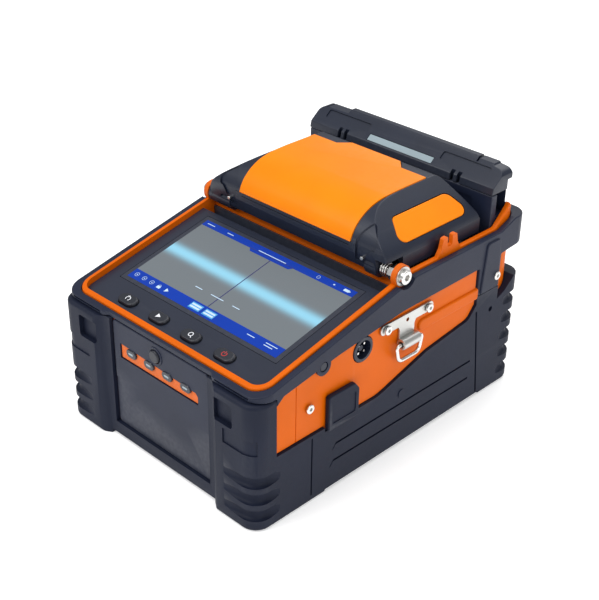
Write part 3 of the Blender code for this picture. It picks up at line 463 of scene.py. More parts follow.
def pictureMaterial(middle, spread):
    # grey field with a soft bright line across it: the fibre as the microscope shows it
    material = makeMaterial("screen_picture", screen["grey"], 0.3, glow=0.35, depth=0.02, gloss=0.35)
    tree = material.node_tree
    shader = tree.nodes["Principled BSDF"]
    where, split = newNode(tree, "TexCoord"), newNode(tree, "SeparateXYZ")
    away = newNode(tree, "Math", {1: middle * mm}, operation="SUBTRACT")
    scaled = newNode(tree, "Math", {1: spread * mm}, operation="DIVIDE")
    flat = newNode(tree, "Math", operation="ABSOLUTE")
    power = newNode(tree, "Math", {1: 2.4}, operation="POWER")
    bell = newNode(tree, "Math", {0: 0.37}, operation="POWER")
    mix = newNode(tree, "Mix", {"A": (*screen["grey"], 1), "B": (*screen["fibre"], 1)}, data_type="RGBA")
    connect(tree, (where, "Object", split, "Vector"), (split, "Y", away, 0), (away, 0, scaled, 0),
            (scaled, 0, flat, 0), (flat, 0, power, 0), (power, 0, bell, 1), (bell, 0, mix, "Factor"),
            (mix, "Result", shader, "Base Color"), (mix, "Result", shader, "Emission Color"))
    return material


window = {"frontTop": 66.6, "sill": 39.2, "usbGap": 0.5}  # opening in the boot's sides


def windowTop():
    return [(windowFront, window["frontTop"]), (windowFront + 4.6, 70.2), (windowFront + 40.0, 76.0),
            (hingeY - 1.5, 81.0), (postFront, 81.5)]


def windowBottom():
    sill, gap = window["sill"], window["usbGap"]
    foot = fillet([(postFront, 60.5), (postFront - 6.0, 53.6), (20.0, 49.4), (-16.0, sill), (windowFront, sill)],
                  [0, 7.0, 24.0, 30.0, 0])
    return foot[:-1] + [(usbBack + gap, sill), (usbBack + gap, usbBottom - gap), (usbFront - gap, usbBottom - gap),
                        (usbFront - gap, sill), foot[-1]]


bootSizes = {
    "corner": 9.0, "edge": 2.0, "floor": 3.0,
    "grooveDepth": 2.6, "grooveHeight": 6.4, "grooveEdge": 2.2,
    "frontGrooves": (6.0, 15.5, 25.0), "rearGrooves": (6.0, 17.0, 28.0, 39.0, 50.0),
    "pocket": (43.8, 56.6, 53.6, 66.0), "pocketDepth": 2.6,
    "patch": (43.6, 51.6), "patchDepth": 0.6,
    "lineDepth": 0.9,
    "sideLines": (((-45.6, 26.5), (58.4, 26.5), 1.2), ((-47.2, 17.0), (57.4, 16.2), 1.2),  # ends and width
                  ((-48.0, 23.6), (-45.2, 27.1), 0.9), ((-49.6, 14.0), (-46.8, 17.6), 0.9)),
    "boss": (1.8, 32.7), "postHole": (72.4, 52.9),
}


def cornerGrooves(boot, sx):
    corner = bootSizes["corner"]
    cx, cy = half - corner, rear - corner
    line = [(cx - 14.0, cy + 9.05)] + arc((cx, cy), corner - bootSizes["grooveDepth"], 90, 0)
    line += [(cx + 9.05, cy - 8.0), (cx + 30, cy - 8.0), (cx + 30, cy + 30), (cx - 14.0, cy + 30)]
    for sy, levels in ((-1, bootSizes["frontGrooves"]), (1, bootSizes["rearGrooves"])):
        for level in levels:
            groove = slab("groove", [(sx * x, sy * y) for x, y in line], level, level + bootSizes["grooveHeight"])
            soften(groove, bootSizes["grooveEdge"], 3)
            cut(boot, groove)
    x0, x1, low, high = bootSizes["pocket"]
    x0, x1 = between(sx, x0, x1)
    pocket = roundedRect(x0, x1, low, high, 1.5, 4)
    cut(boot, slab("pocket", pocket, front - 3, front + bootSizes["pocketDepth"], "Y"))
    reach = corner - bootSizes["patchDepth"]
    line = [(cx - 12.5, cy + reach)] + arc((cx, cy), reach, 90, 38)
    line += [(cx + 20, cy + 15.6), (cx + 20, cy + 20), (cx - 12.5, cy + 20)]
    cut(boot, slab("patch", [(sx * x, -y) for x, y in line], *bootSizes["patch"]))


def sideLines(boot, sx):
    near, far = between(sx, half - bootSizes["lineDepth"], half + 5)
    for (y0, z0), (y1, z1), wide in bootSizes["sideLines"]:
        strip = [(y0, z0 - wide / 2), (y1, z1 - wide / 2), (y1, z1 + wide / 2), (y0, z0 + wide / 2)]
        cut(boot, slab("side_groove", strip, near, far, "X"))
    line = [(59.4, 56.0), (65.4, 3.0), (66.6, 3.0), (60.6, 56.0)]
    cut(boot, slab("post_groove", line, near, far, "X"))
    cut(boot, brick("front_split", (near, -62.6, 4.0), (far, -61.7, 37.5)))
    add(boot, rod("boss", "X", *between(sx, half - 1, half + 0.4), bootSizes["boss"], 2.4))
    cut(boot, rod("post_hole", "X", *between(sx, half - 2.2, half + 5), bootSizes["postHole"], 1.5, 24))


def makeBoot():
    corner, top = bootSizes["corner"], bootTop + 5
    boot = slab("boot_skin", roundedRect(-half, half, front, rear, corner), 0.0, bootTop)
    soften(boot, bootSizes["edge"], 4)
    hollow = roundedRect(-innerHalf, innerHalf, innerFront, innerRear, corner + 0.3)
    cut(boot, slab("hollow", hollow, bootSizes["floor"], top))
    cut(boot, through("side_window", [(windowFront, top)] + windowBottom()[::-1] + [(postFront, top)]))
    cut(boot, through("rear_window", [(postBack, top), (postBack, 57.0), (postBack + 6, 59.5), (postBack + 14, 66.0),
                                      (rear + 5, 66.0), (rear + 5, top)]))
    recess = [(-46.5, front - 1), (46.5, front - 1), (39.3, front + 3.8), (-39.3, front + 3.8)]
    cut(boot, brick("post_split", (-past, postFront - 1, 65.2), (past, postBack + 1, top)),
        slab("recess", recess, -1, top),
        brick("battery_room", (-36.2, front - 5, 9.0), (36.2, innerFront + 5, top)),
        brick("rear_room", (-38, innerRear - 5, 46), (38, rear + 5, top)),
        brick("floor_room", (-44, front + 34, -1), (44, rear - 34, 4)),
        brick("side_step", (-past, front + 46.4, -1), (past, rear - 29.4, 2.2)),
        brick("end_step", (-40, front - 5, -1), (40, rear + 5, 2.0)))
    for sx in (-1, 1):
        cornerGrooves(boot, sx)
        sideLines(boot, sx)
    place(boot, rubber, "case", "rubber", "rubber_boot")


shellSizes = {
    "corner": 9.0, "edge": 0.9, "wall": 2.5, "bottom": 3.3, "floor": 5.8,
    "fieldGap": 0.45, "rib": (12.5, 63.6, 70.2), "ribStep": 1.2,  # start, low, high
    "crease": (-72.3, -71.8), "creaseDepth": 0.35,
    "earRadius": 5.6, "earBore": 2.3, "dcRadius": 7.0,
    "tabTop": 107.2, "tabSlot": 1.9,
}


def fibreTab(y):
    # two prongs with a slot for the fibre between them
    top, slot = shellSizes["tabTop"], shellSizes["tabSlot"]
    return fillet([(y - 9.5, 97), (y + 9.5, 97), (y + 6.2, 102), (y + 5.2, top), (y + slot, top), (y + slot, 101.5),
                   (y - slot, 101.5), (y - slot, top), (y - 5.2, top), (y - 6.2, 102)],
                  [0, 0, 3, 1.2, 0.6, 1.2, 1.2, 0.6, 1.2, 3], 5)


def makeShell():
    wall = shellSizes["wall"]
    outline = roundedRect(-shellHalf, shellHalf, shellFront, shellRear, shellSizes["corner"])
    shell = slab("shell_skin", outline, shellSizes["bottom"], shoulderLevel)
    above = [(front - 5, rim(front - 5)), (rimBend, rimLevel), (heaterFront + 1, rimLevel),
             (heaterFront + 12.5, shoulderLevel), (shellRear, shoulderLevel - 5), (rear + 10, shoulderLevel - 5),
             (rear + 10, 130), (front - 5, 130)]
    cut(shell, through("above", above))
    soften(shell, shellSizes["edge"], 3)
    hollow = roundedRect(-shellHalf + wall, shellHalf - wall, shellFront + wall, shellRear - wall,
                         shellSizes["corner"] - wall)
    cut(shell, slab("hollow", hollow, shellSizes["floor"], 130))
    cross = [(hingeY + 0.15, 70), (hingeY + 7, 70), (hingeY + 7, 94.6), (hingeY + 4.15, 94.6), (hingeY + 0.15, 91.1)]
    add(shell, slab("cross", cross, -shellHalf + 2, shellHalf - 2, "X"))
    field = inset((windowBottom() + windowTop())[::-1], shellSizes["fieldGap"])
    start, low, high = shellSizes["rib"]
    rib = fillet([(start, low), (postFront + 1, low), (postFront + 1, high), (start, high)], [3.2, 0, 0, 3.2])
    creaseFront, creaseBack = shellSizes["crease"]
    for side in (-1, 1):
        panel = slab("field", field, *between(side, shellHalf - 1, padFace), "X")
        soften(panel, 0.6, 3, 50)
        near, far = between(side, padFace - shellSizes["creaseDepth"], past)
        cut(panel, brick("crease", (near, creaseFront, 40), (far, creaseBack, 72)))
        add(shell, panel)
        raised = slab("rib", rib, *between(side, shellHalf - 1, padFace + shellSizes["ribStep"]), "X")
        soften(raised, 1.1, 4, 50)
        add(shell, raised)
        add(shell, rod("ear", "X", *between(side, shellHalf - 2.4, shellHalf + 0.5), (hingeY, hingeZ),
                       shellSizes["earRadius"], 48))
        add(shell, slab("tab", fibreTab(fibreY), *between(side, shellHalf - 2.4, shellHalf - 0.1), "X"))
    cut(shell, rod("ear_bore", "X", -past, past, (hingeY, hingeZ), shellSizes["earBore"], 24),
        brick("battery_door", (-35.5, front - 5, 9.0), (35.5, shellFront + 4, 70.7)),
        rod("dc_hole", "X", 60, past, (dcY, dcZ), shellSizes["dcRadius"], 48),
        brick("usb_hole", (60, usbFront + 4, usbBottom + 5), (past, usbBack - 4, usbTop - 5)))
    place(shell, orange, "case", "orange_plastic", "body_shell")


bandSizes = {
    "corner": 9.0, "edge": 0.9, "rimDrop": 0.8, "postStep": 0.9,
    "plug": (-55.3, 74.4), "tabRadius": 4.6, "seatRadius": 2.6, "plugRadius": 2.2,
    "slot": (71.9, 72.8),
}


def makeBand():
    corner, rimDrop = bandSizes["corner"], bandSizes["rimDrop"]
    band = slab("band_skin", roundedRect(-half, half, front + 3.0, rear, corner), 60, 105)
    high = [(rear + 5, 101.5), (heaterFront + 13.5, 101.5), (heaterFront + 2, rimLevel - rimDrop),
            (rimBend, rimLevel - rimDrop), (front - 5, rim(front - 5) - rimDrop)]
    low = [(front - 5, bootTop + 0.3), (windowFront + 0.3, bootTop + 0.3), (windowFront + 0.3, window["frontTop"])]
    low += windowTop()[1:] + [(postFront, 65.5), (postBack, 65.5), (postBack, 84.0), (rear + 5, 86.0)]
    keepInside(band, through("profile", low + high))
    recess = [(-46.5, front - 1), (46.5, front - 1), (37.5, front + 5), (-37.5, front + 5)]
    hollow = roundedRect(-innerHalf, innerHalf, innerFront, innerRear, corner + 0.3)
    cut(band, slab("hollow", hollow, 55, 110), slab("recess", recess, 40, 110))
    soften(band, bandSizes["edge"], 3, 40)
    post = fillet([(postFront + 1.5, 66), (postBack - 1.5, 66), (postBack - 2.5, 94.5), (postFront + 4.5, 94.5)],
                  [1.5, 1.5, 2.5, 2.5])
    plugs = []
    for side in (-1, 1):
        cut(band, rod("bolt_room", "X", *between(side, 66, past), (hingeY, hingeZ), 5.9, 48))
        raised = slab("post", post, *between(side, half - 1, half + bandSizes["postStep"]), "X")
        soften(raised, 0.7, 3, 50)
        add(band, raised)
        where = bandSizes["plug"]
        add(band, rod("plug_tab", "X", *between(side, padFace + 0.3, half), where, bandSizes["tabRadius"]))
        cut(band, rod("plug_seat", "X", *between(side, half - 0.8, past), where, bandSizes["seatRadius"], 32))
        slot = rect(*between(side, 42, 64), front, front + 4.4)
        cut(band, slab("corner_slot", slot, *bandSizes["slot"]))
        plugs.append(rod("plug", "X", *between(side, half - 1.4, half - 0.2), where, bandSizes["plugRadius"], 32))
    plug = joinAll("band_plugs", plugs)
    soften(plug, 0.3, 2)
    place(plug, barDark, "case", "dark_plastic")
    place(band, dark, "case", "dark_plastic", "top_frame")


panelFrame = Matrix.Translation(Vector((0, panelY, panelLevel)) * mm) @ Matrix.Rotation(tilt, 4, "X")


def onPanel(obj):
    # from the panel's own u, v and height to the object's place
    obj.matrix_world = panelFrame
    return applyTransform(obj)


def painted_glint(outline, low, high=None):
    return slab("painted_glint", outline, low, (low + 0.06) if high is None else high)


def ringMark(u, v, radius, thick, level, start=0, stop=360):
    count = 32
    outer = arc((u, v), radius + thick / 2, start, stop, count)
    inner = arc((u, v), radius - thick / 2, start, stop, count)
    if stop - start >= 360:
        ring = slab("ring", outer[:-1], level, level + 0.06)
        cut(ring, slab("ring_hole", inner[:-1], level - 1, level + 1))
        return ring
    return slab("ring", outer + inner[::-1], level, level + 0.06)


panelSizes = {"sideGap": 2.8, "corner": 6.2, "thick": 2.5, "troughFront": 9.0, "upstandTop": 90.3,
              "screenRoom": (57.0, 31.0), "keyHole": (12.6, 7.6)}
keySizes = {"middle": -1.7, "pitch": 23.6, "row": -41.3, "cap": (12.0, 7.0), "flange": (14.5, 9.5),
            "height": 1.75, "names": ("reset", "play", "zoom", "power")}


def keyPlace(number):
    return keySizes["middle"] + (number - 1.5) * keySizes["pitch"], keySizes["row"]


def makePanel():
    width, corner, edge = shellHalf - panelSizes["sideGap"], panelSizes["corner"], hingeY - panelSizes["troughFront"]
    frontV = (shellFront + panelSizes["sideGap"] - panelY) / math.cos(tilt)
    rearV = (edge - panelY) / math.cos(tilt)
    outline = arc((-width + corner, frontV + corner), corner, 180, 270)
    outline += arc((width - corner, frontV + corner), corner, 270, 360) + [(width, rearV), (-width, rearV)]
    panel = slab("panel_skin", outline, -panelSizes["thick"], 0.0)
    soften(panel, 0.35, 2)
    u, v = panelSizes["screenRoom"]
    cut(panel, brick("screen_room", (-u, -v, -5), (u, v, 5)))
    for number in range(len(keySizes["names"])):
        cut(panel, slab("key_hole", stadium(*keyPlace(number), *panelSizes["keyHole"]), -5, 5))
    onPanel(panel)
    add(panel, brick("trough", (-width, edge - 2, 83), (width, hingeY - 0.15, 85)),
        brick("trough_lip", (-width, edge - 2, 83), (width, edge - 0.2, slope(edge) - 1.5)),
        brick("upstand", (-width, hingeY - 1.2, 84), (width, hingeY - 0.15, panelSizes["upstandTop"])))
    place(panel, panelDark, "case", "dark_plastic", "control_panel")


def bottomSymbols():
    # two picture tiles, three round signs, a lock and an arrow in the lower bar
    white = []
    for side in (-1, 1):
        for v in (-23.9, -25.6):
            white.append(painted_glint(rect(side * 4.9 - 3.3, side * 4.9 + 3.3, v - 0.55, v + 0.55), 0.21))
    for u in (-50.0, -44.2, -38.4):
        white.append(ringMark(u, -24.8, 1.25, 0.2, 0.22))
        white.append(painted_glint(stadium(u, -24.8, 0.9, 0.5, 5), 0.21))
    white.append(painted_glint(rect(-33.8, -31.4, -26.2, -24.5), 0.21))
    white.append(ringMark(-32.6, -24.5, 0.8, 0.2, 0.22))
    white.append(painted_glint([(-27.8, -26.2), (-25.6, -24.8), (-27.8, -23.4)], 0.21))
    return white


def makeScreen():
    width, height = screen["size"]
    u1, v1 = screen["picture"]
    face = slab("screen_skin", roundedRect(-width, width, -height, height, 0.5, 3), -1.2, 0.0)
    place(onPanel(face), panelDark, "case", "glass", "screen_glass")
    picture = slab("screen_picture", rect(-u1, u1, -v1, v1), 0.02, 0.06)
    fibre = pictureMaterial(panelY + screen["fibreV"] * math.cos(tilt), screen["fibreSpread"] * math.cos(tilt))
    place(onPanel(picture), fibre, "case", "glass")
    bars = [painted_glint(rect(-u1, u1, screen["topBar"], v1), 0.07), painted_glint(rect(-u1, u1, -v1, screen["lowBar"]), 0.07),
            painted_glint([(-17, 24), (-15, 21.9), (12.5, 21.9), (14.5, 24)], 0.07, 0.125)]
    place(onPanel(joinAll("screen_bars", bars)), screenBlue, "case", "glass")
    lines = [painted_glint(rect(-0.25, 0.25, -21.2, 21.8), 0.08), painted_glint(rect(-17.4, 14.9, 23.75, 24.0), 0.14)]
    place(onPanel(joinAll("screen_line", lines)), screenNavy, "case", "glass")
    tiles = [painted_glint(rect(side * 4.9 - 3.9, side * 4.9 + 3.9, -26.9, -22.6), 0.14) for side in (-1, 1)]
    place(onPanel(joinAll("screen_tiles", tiles)), screenCyan, "case", "glass")
    white = bottomSymbols()
    white.append(painted_glint(rect(47.0, 50.4, 25.2, 26.8), 0.21))  # battery sign
    white.append(painted_glint(rect(50.6, 51.1, 25.6, 26.4), 0.21))
    white.append(painted_glint(stadium(40.5, 26.0, 1.2, 0.8, 6), 0.21))
    white.append(ringMark(30.0, 26.0, 0.95, 0.18, 0.22))
    for left, right, v in ((-51.5, -46.0, 26.0), (-36.0, -31.5, 26.0), (-11.0, 8.5, 24.6), (43.0, 50.5, -23.4),
                      (43.0, 48.6, -25.0), (31.0, 36.0, -24.2), (-17.0, -12.0, -14.0), (-5.5, 3.5, -14.0),
                      (10.0, 15.0, -14.0)):  # plain dashes where a reading stands
        white.append(painted_glint(rect(left, right, v - 0.22, v + 0.22), 0.21))
    place(onPanel(joinAll("screen_symbols", white)), screenWhite, "case", "glass")


def keySymbol(name, u, v, level):
    if name == "reset":
        return [ringMark(u, v, 1.35, 0.42, level, -60, 230),
                painted_glint([(u - 0.2, v + 0.7), (u - 0.2, v + 2.1), (u - 1.5, v + 1.4)], level)]
    if name == "play":
        return [painted_glint([(u - 1.1, v - 1.4), (u + 1.5, v), (u - 1.1, v + 1.4)], level)]
    if name == "zoom":
        handle = [(u + 0.75, v - 1.0), (u + 1.05, v - 0.7), (u + 1.85, v - 1.5), (u + 1.55, v - 1.8)]
        return [ringMark(u, v + 0.2, 1.2, 0.42, level), painted_glint(handle[::-1], level)]
    return [ringMark(u, v, 1.35, 0.4, level, 125, 415), painted_glint(rect(u - 0.2, u + 0.2, v + 0.1, v + 1.7), level)]


def makeKeys():
    for number, name in enumerate(keySizes["names"]):
        u, v = keyPlace(number)
        cap = slab(f"key_{name}_cap", stadium(u, v, *keySizes["cap"]), -3.3, keySizes["height"])
        soften(cap, 1.1, 5, 60)
        add(cap, slab("flange", stadium(u, v, *keySizes["flange"]), -3.8, -2.8))
        place(onPanel(cap), keyDark, f"key_{name}_body", "dark_plastic", f"key_{name}")
        icon = joinAll(f"key_{name}_symbol", keySymbol(name, u, v + 0.1, keySizes["height"] - 0.03))
        place(onPanel(icon), redMark if name == "power" else whiteMark, f"key_{name}_body", "light_plastic")


coverSizes = {
    "nose": 5.75,  # the front bar stands this far before the hinge
    "edge": 1.3, "wall": 2.8, "foot": 96.8,
    "flat": 39.6, "inlayEdge": 39.2, "inlayDepth": 1.3, "inlayFoot": 108.6, "inlayLift": 0.5, "inlayGap": 0.35,
    "sideGap": 0.4, "sideLift": 0.35,
    "dimple": [(41.2, -5.0), (56.4, -4.2), (48.3, 4.2)], "dimpleDepth": 0.9,
    "springRoom": 55.8, "barrel": 5.3, "bore": 2.3,
    "pin": (47.2, 102.4), "pinRadius": 1.0,
}


def coverArch():
    nose, tail = hingeY - coverSizes["nose"], coverBack
    low = [(nose + 0.55, 100.2), (nose - 0.2, 103.5)]
    bend = smoothLine([(nose, 108.0), (nose + 0.9, 111.0), (nose + 3.6, 115.2), (nose + 8.4, 119.3),
                       (nose + 15.0, 122.4), (nose + 23.5, 124.0), (nose + 34.0, coverTop)], 4)
    back = smoothLine([(tail - 10.6, coverTop), (tail - 8.4, coverTop - 1.2), (tail - 6.6, coverTop - 4.0)], 3)
    return low, bend, back + [(tail, 104.5)]


def coverShape(name, shrink, foot):
    low, bend, back = coverArch()
    side = low + bend + back + [(coverBack, foot), (hingeY - 4.4, foot)]
    across = smoothLine([(coverSizes["flat"], coverTop), (48.0, 118.6), (56.0, 112.7), (61.0, 108.2),
                         (62.6, 104.4)], 4) + [(coverHalf, foot)]
    across = [(-x, z) for x, z in across[::-1]] + across
    side, across = side[::-1], across[::-1]
    if shrink:
        side, across = inset(side, shrink), inset(across, shrink)
    solid = slab(name, side, -coverHalf - 5, coverHalf + 5, "X")
    keepInside(solid, slab("section", across, front, rear, "Y"))
    return solid


def topSkin(name, grow, lift=0.0):
    # the orange top, or with grow the pocket that it lies in
    low, bend, back = coverArch()
    foot, depth, out = coverSizes["foot"], coverSizes["inlayDepth"] + grow, 3.0 if grow else lift
    line = low + bend + back + [(coverBack, foot), (hingeY - 4.4, foot)]
    count = len(bend)
    under = inset(line[::-1], depth)[::-1][3:2 + count]
    over = inset(line[::-1], -out)[::-1][3:2 + count]
    nose, edge, end = hingeY - coverSizes["nose"], coverSizes["inlayFoot"] - grow, coverBack - 10.9 + grow
    inner = [(nose + depth, edge)] + under + [(end, coverTop - depth)]
    outer = [(nose - out, edge)] + over + [(end, coverTop + out)]
    reach = coverSizes["inlayEdge"] + grow
    skin = slab(name, inner + outer[::-1], -reach, reach, "X")
    tail = coverBack - 17.0 + grow
    for side in (-1, 1):
        corner = [(16.7 + grow, tail + 6.4), (16.7 + grow, rear), (50.0, rear), (50.0, tail), (22.8 + grow, tail)]
        cut(skin, slab("corner", [(side * x, y) for x, y in corner], 100, 140))
    return skin


def sideSkin(name, side, grow):
    # the inlay on a shoulder, drawn flat as (down the slope, y) and then turned
    foot = coverSizes["inlayFoot"]
    outline = fillet([(-2.4, hingeY + 13.2), (12.0, hingeY + 6.6), (12.0, coverBack - 5.6),
                      (-2.4, coverBack - 11.8)], [3.5, 4.0, 4.5, 5.5])
    if grow:
        outline = inset(outline, -grow)
    low, high = -coverSizes["inlayDepth"] - grow, 3.0 if grow else coverSizes["sideLift"]
    skin = slab(name, [(side * s, y) for s, y in outline], low, high)
    if not grow:
        soften(skin, 0.5, 3, 50)
    centre = Vector((side * 50.3, 0, (coverTop + foot) / 2)) * mm
    angle = math.atan2(coverTop - foot, 21.4)
    skin.matrix_world = Matrix.Translation(centre) @ Matrix.Rotation(side * angle, 4, "Y")
    return applyTransform(skin)


def makeWindCover():
    hinge, foot = (hingeY, hingeZ), coverSizes["foot"]
    shell = coverShape("cover_skin", 0.0, foot)
    soften(shell, coverSizes["edge"], 4, 28)
    cut(shell, coverShape("cover_hollow", coverSizes["wall"], foot - 20))
    cut(shell, topSkin("top_pocket", coverSizes["inlayGap"]))
    for side in (-1, 1):
        cut(shell, sideSkin("side_pocket", side, coverSizes["sideGap"]))
        outline = fillet(coverSizes["dimple"], [1.0, 1.0, 1.6])
        dimple = slab("dimple", [(side * x, y) for x, y in outline], 100.0, 140.0)
        cut(dimple, coverShape("dimple_floor", coverSizes["dimpleDepth"], foot - 20))
        cut(shell, dimple)
    room = coverSizes["springRoom"]
    cut(shell, brick("spring_room", (room, hingeY - 12, 90), (coverHalf + 5, hingeY + 6.4, 104.8)))
    add(shell, rod("barrel_right", "X", 48, room - 0.3, hinge, coverSizes["barrel"], 48),
        rod("barrel_left", "X", -64.6, -48, hinge, coverSizes["barrel"], 48))
    cut(shell, rod("barrel_bore", "X", -past, past, hinge, coverSizes["bore"], 32),
        brick("notches", (-past, fibreY - 1.8, 90), (past, fibreY + 1.8, 103)),
        brick("bar_line", (-38, hingeY - 8, 106.1), (38, hingeY - 5.3, 106.5)))
    place(shell, barDark, "wind_cover", "dark_plastic", "wind_cover_frame")
    skin = topSkin("cover_top_skin", 0.0, coverSizes["inlayLift"])
    soften(skin, 0.55, 3, 40)
    place(skin, amber, "wind_cover", "amber_plastic", "wind_cover_panel")
    for side, label in ((-1, "left"), (1, "right")):
        insert = sideSkin(f"cover_insert_{label}_skin", side, 0.0)
        place(insert, amber, "wind_cover", "amber_plastic", f"wind_cover_insert_{label}")
    x, z = coverSizes["pin"]
    pins = []
    for side in (-1, 1):
        pins.append(rod("pin", "Y", hingeY - 6.6, hingeY - 4.5, (side * x, z), coverSizes["pinRadius"], 20))
    pin = joinAll("cover_bar_pins", pins)
    soften(pin, 0.25, 2)
    place(pin, steel, "wind_cover", "steel")


hingeSizes = {
    "bolt": 2.0, "head": 3.7, "socket": 1.8, "washer": 5.0,
    "nut": 4.2, "nutSpan": (61.2, 64.9), "bore": 2.3,
    "springStart": 56.3, "springPitch": 1.4, "springTurns": 3, "springRadius": 3.4, "wire": 0.5,
}


def makeHinge():
    where = (hingeY, hingeZ)
    for side, label in ((-1, "left"), (1, "right")):
        bolt = rod(f"hinge_bolt_{label}_skin", "X", *between(side, 47, 69.3), where, hingeSizes["bolt"], 32)
        head = rod("head", "X", *between(side, 68.5, 71.0), where, hingeSizes["head"])
        soften(head, 0.5, 3)
        add(bolt, head)
        cut(bolt, rod("socket", "X", *between(side, 69.3, 72), where, hingeSizes["socket"], 6))
        place(bolt, steel, "case", "steel", f"hinge_bolt_{label}")
        washer = rod(f"hinge_washer_{label}", "X", *between(side, 68.25, 68.75), where, hingeSizes["washer"])
        place(washer, brushed, "case", "steel")
    nut = rod("hinge_nut_skin", "X", *hingeSizes["nutSpan"], where, hingeSizes["nut"], 6)
    soften(nut, 0.35, 2)
    cut(nut, rod("nut_bore", "X", 55, 72, where, hingeSizes["bore"], 32))
    place(nut, steel, "case", "steel", "hinge_nut")
    steps, radius = 24, hingeSizes["springRadius"]  # points in a turn of the spring
    points = []
    for i in range(hingeSizes["springTurns"] * steps + 1):
        angle = 2 * math.pi * i / steps
        points.append((hingeSizes["springStart"] + hingeSizes["springPitch"] * i / steps,
                       hingeY + radius * math.cos(angle), hingeZ + radius * math.sin(angle)))
    place(tube("cover_spring_skin", points, hingeSizes["wire"]), steel, "case", "steel", "cover_spring")


heaterSizes = {
    "half": 64.6, "corner": 6.5, "baseTop": 115.2, "lidGap": 0.4,
    "axisStep": 1.0, "axisZ": 118.4, "pinBore": 1.1, "knuckle": 1.9, "lug": (48, 54),
    "slopeFoot": 119.4,  # where the lid's sloping front starts
    "strip": (22.5, 1.0, 4.8),  # half width, from, to, up the slope
    "fingers": (-42.0, -37.6, 37.6, 42.0), "seams": ((46.0, 47.2), (-60.6, -59.4)),
}


def makeHeaterBase():
    wide, top, axisZ = heaterSizes["half"], heaterSizes["baseTop"], heaterSizes["axisZ"]
    outline = roundedRect(-wide, wide, heaterFront - 30, heaterBack, heaterSizes["corner"])
    base = slab("heater_base_skin", outline, 80, top)
    cut(base, brick("base_front", (-past, heaterFront - 60, 70), (past, heaterFront, 130)))
    soften(base, 0.6, 3)
    cut(base, brick("channel", (-past, heaterFront + 4, 103), (past, heaterBack - 4.2, 130)))
    for side in (-1, 1):
        x0, x1 = between(side, *heaterSizes["lug"])
        add(base, brick("lug", (x0, heaterBack - 2.7, top - 1), (x1, heaterBack - 0.2, axisZ + 1.7)))
    axis = (heaterBack - heaterSizes["axisStep"], axisZ)
    cut(base, rod("pin_bore", "X", -52.4, 52.4, axis, heaterSizes["pinBore"], 20))
    for x0, x1 in ((-52, -6), (6, 52)):
        recess = roundedRect(x0, x1, 101.0, 111.0, 1.5, 5)
        cut(base, slab("front_recess", recess, heaterFront - 2, heaterFront + 0.8, "Y"))
    place(triangulate(base), dark, "case", "dark_plastic", "heater_base")


def makeHeaterLid():
    wide, high, low = heaterSizes["half"], lidHigh.z, heaterSizes["baseTop"] + heaterSizes["lidGap"]
    axisY, axisZ, foot = heaterBack - heaterSizes["axisStep"], heaterSizes["axisZ"], heaterSizes["slopeFoot"]
    profile = [(heaterFront - 0.4, low), (axisY - 2.5, low), (axisY - 2.5, axisZ + 2.5), (heaterBack, axisZ + 2.5),
               (heaterBack, high - 0.8), (heaterBack - 1.0, high), (heaterFront + 11.6, high),
               (heaterFront + 10.4, high - 1.2), (heaterFront + 0.4, foot)]
    lid = slab("heater_lid_skin", profile, -wide, wide, "X")
    ends = fillet([(-66, low - 5), (66, low - 5), (64.8, high - 2.4), (57.0, high - 1.8), (56.2, high - 0.8),
                   (47.2, high - 0.8), (46.6, high + 5), (-43.4, high + 5), (-44.4, high - 1.9),
                   (-60.0, high - 2.1), (-64.8, high - 2.6)], [0, 0, 5.0, 0, 0, 0, 0, 0, 0, 0, 4.0])
    keepInside(lid, slab("ends", ends, heaterFront - 5, rear + 5, "Y"))
    soften(lid, 0.8, 3, 30)
    for x0, x1 in heaterSizes["seams"]:
        cut(lid, brick("lid_notch", (x0, heaterFront + 9.0, high - 2.4), (x1, rear, high + 5)))
    cut(lid, brick("lid_hollow", (-58, heaterFront + 3.5, low - 1), (58, heaterFront + 12, 121)))
    for x in heaterSizes["fingers"]:
        cut(lid, brick("finger_slot", (x - 1.2, heaterFront - 2, 115), (x + 1.2, heaterFront + 2.4, 130)))
    slant = math.atan2(high - 1.2 - foot, 10.0)
    seat = Matrix.Translation(Vector((0, heaterFront + 0.4, foot)) * mm) @ Matrix.Rotation(slant, 4, "X")
    x, near, far = heaterSizes["strip"]
    rooms = []
    for x0, x1 in ((-57, -25.5), (25.5, 57)):
        rooms.append(slab("lid_recess", roundedRect(x0, x1, 5.2, 10.5, 1.2, 5), -0.7, 3))
    rooms.append(slab("strip_room", roundedRect(-x - 0.3, x + 0.3, near - 0.3, far + 0.3, 0.6, 4), -1.1, 3))
    for room in rooms:
        room.matrix_world = seat
        cut(lid, applyTransform(room))
    add(lid, rod("knuckles", "X", -46, 46, (axisY, axisZ), heaterSizes["knuckle"], 32),
        brick("web", (-46, axisY - 1, axisZ), (46, axisY + 1, axisZ + 3)))
    cut(lid, rod("lid_bore", "X", -50, 50, (axisY, axisZ), heaterSizes["pinBore"], 20))
    place(triangulate(lid), barDark, "heater_lid_body", "dark_plastic", "heater_lid")
    strip = slab("heater_strip_skin", roundedRect(-x, x, near, far, 0.5, 4), -0.8, 0.0)
    soften(strip, 0.2, 2)
    strip.matrix_world = seat
    place(applyTransform(strip), stripGrey, "heater_lid_body", "light_plastic", "heater_lid_strip")


batterySizes = {
    "face": 5.0, "back": 8.5, "corner": 2.0,  # face and back of the plate, from the front
    "strip": (-30.2, 27.8, 50.0, 58.4), "stripGap": 0.4,
    "lensMiddle": -1.2, "lensPitch": 13.5, "lensLevel": 55.7, "lens": (7.4, 4.6), "lensCount": 4,
    "button": (-2.6, 63.3), "buttonRadius": 3.4, "buttonBore": 3.8, "collar": 5.0,
}


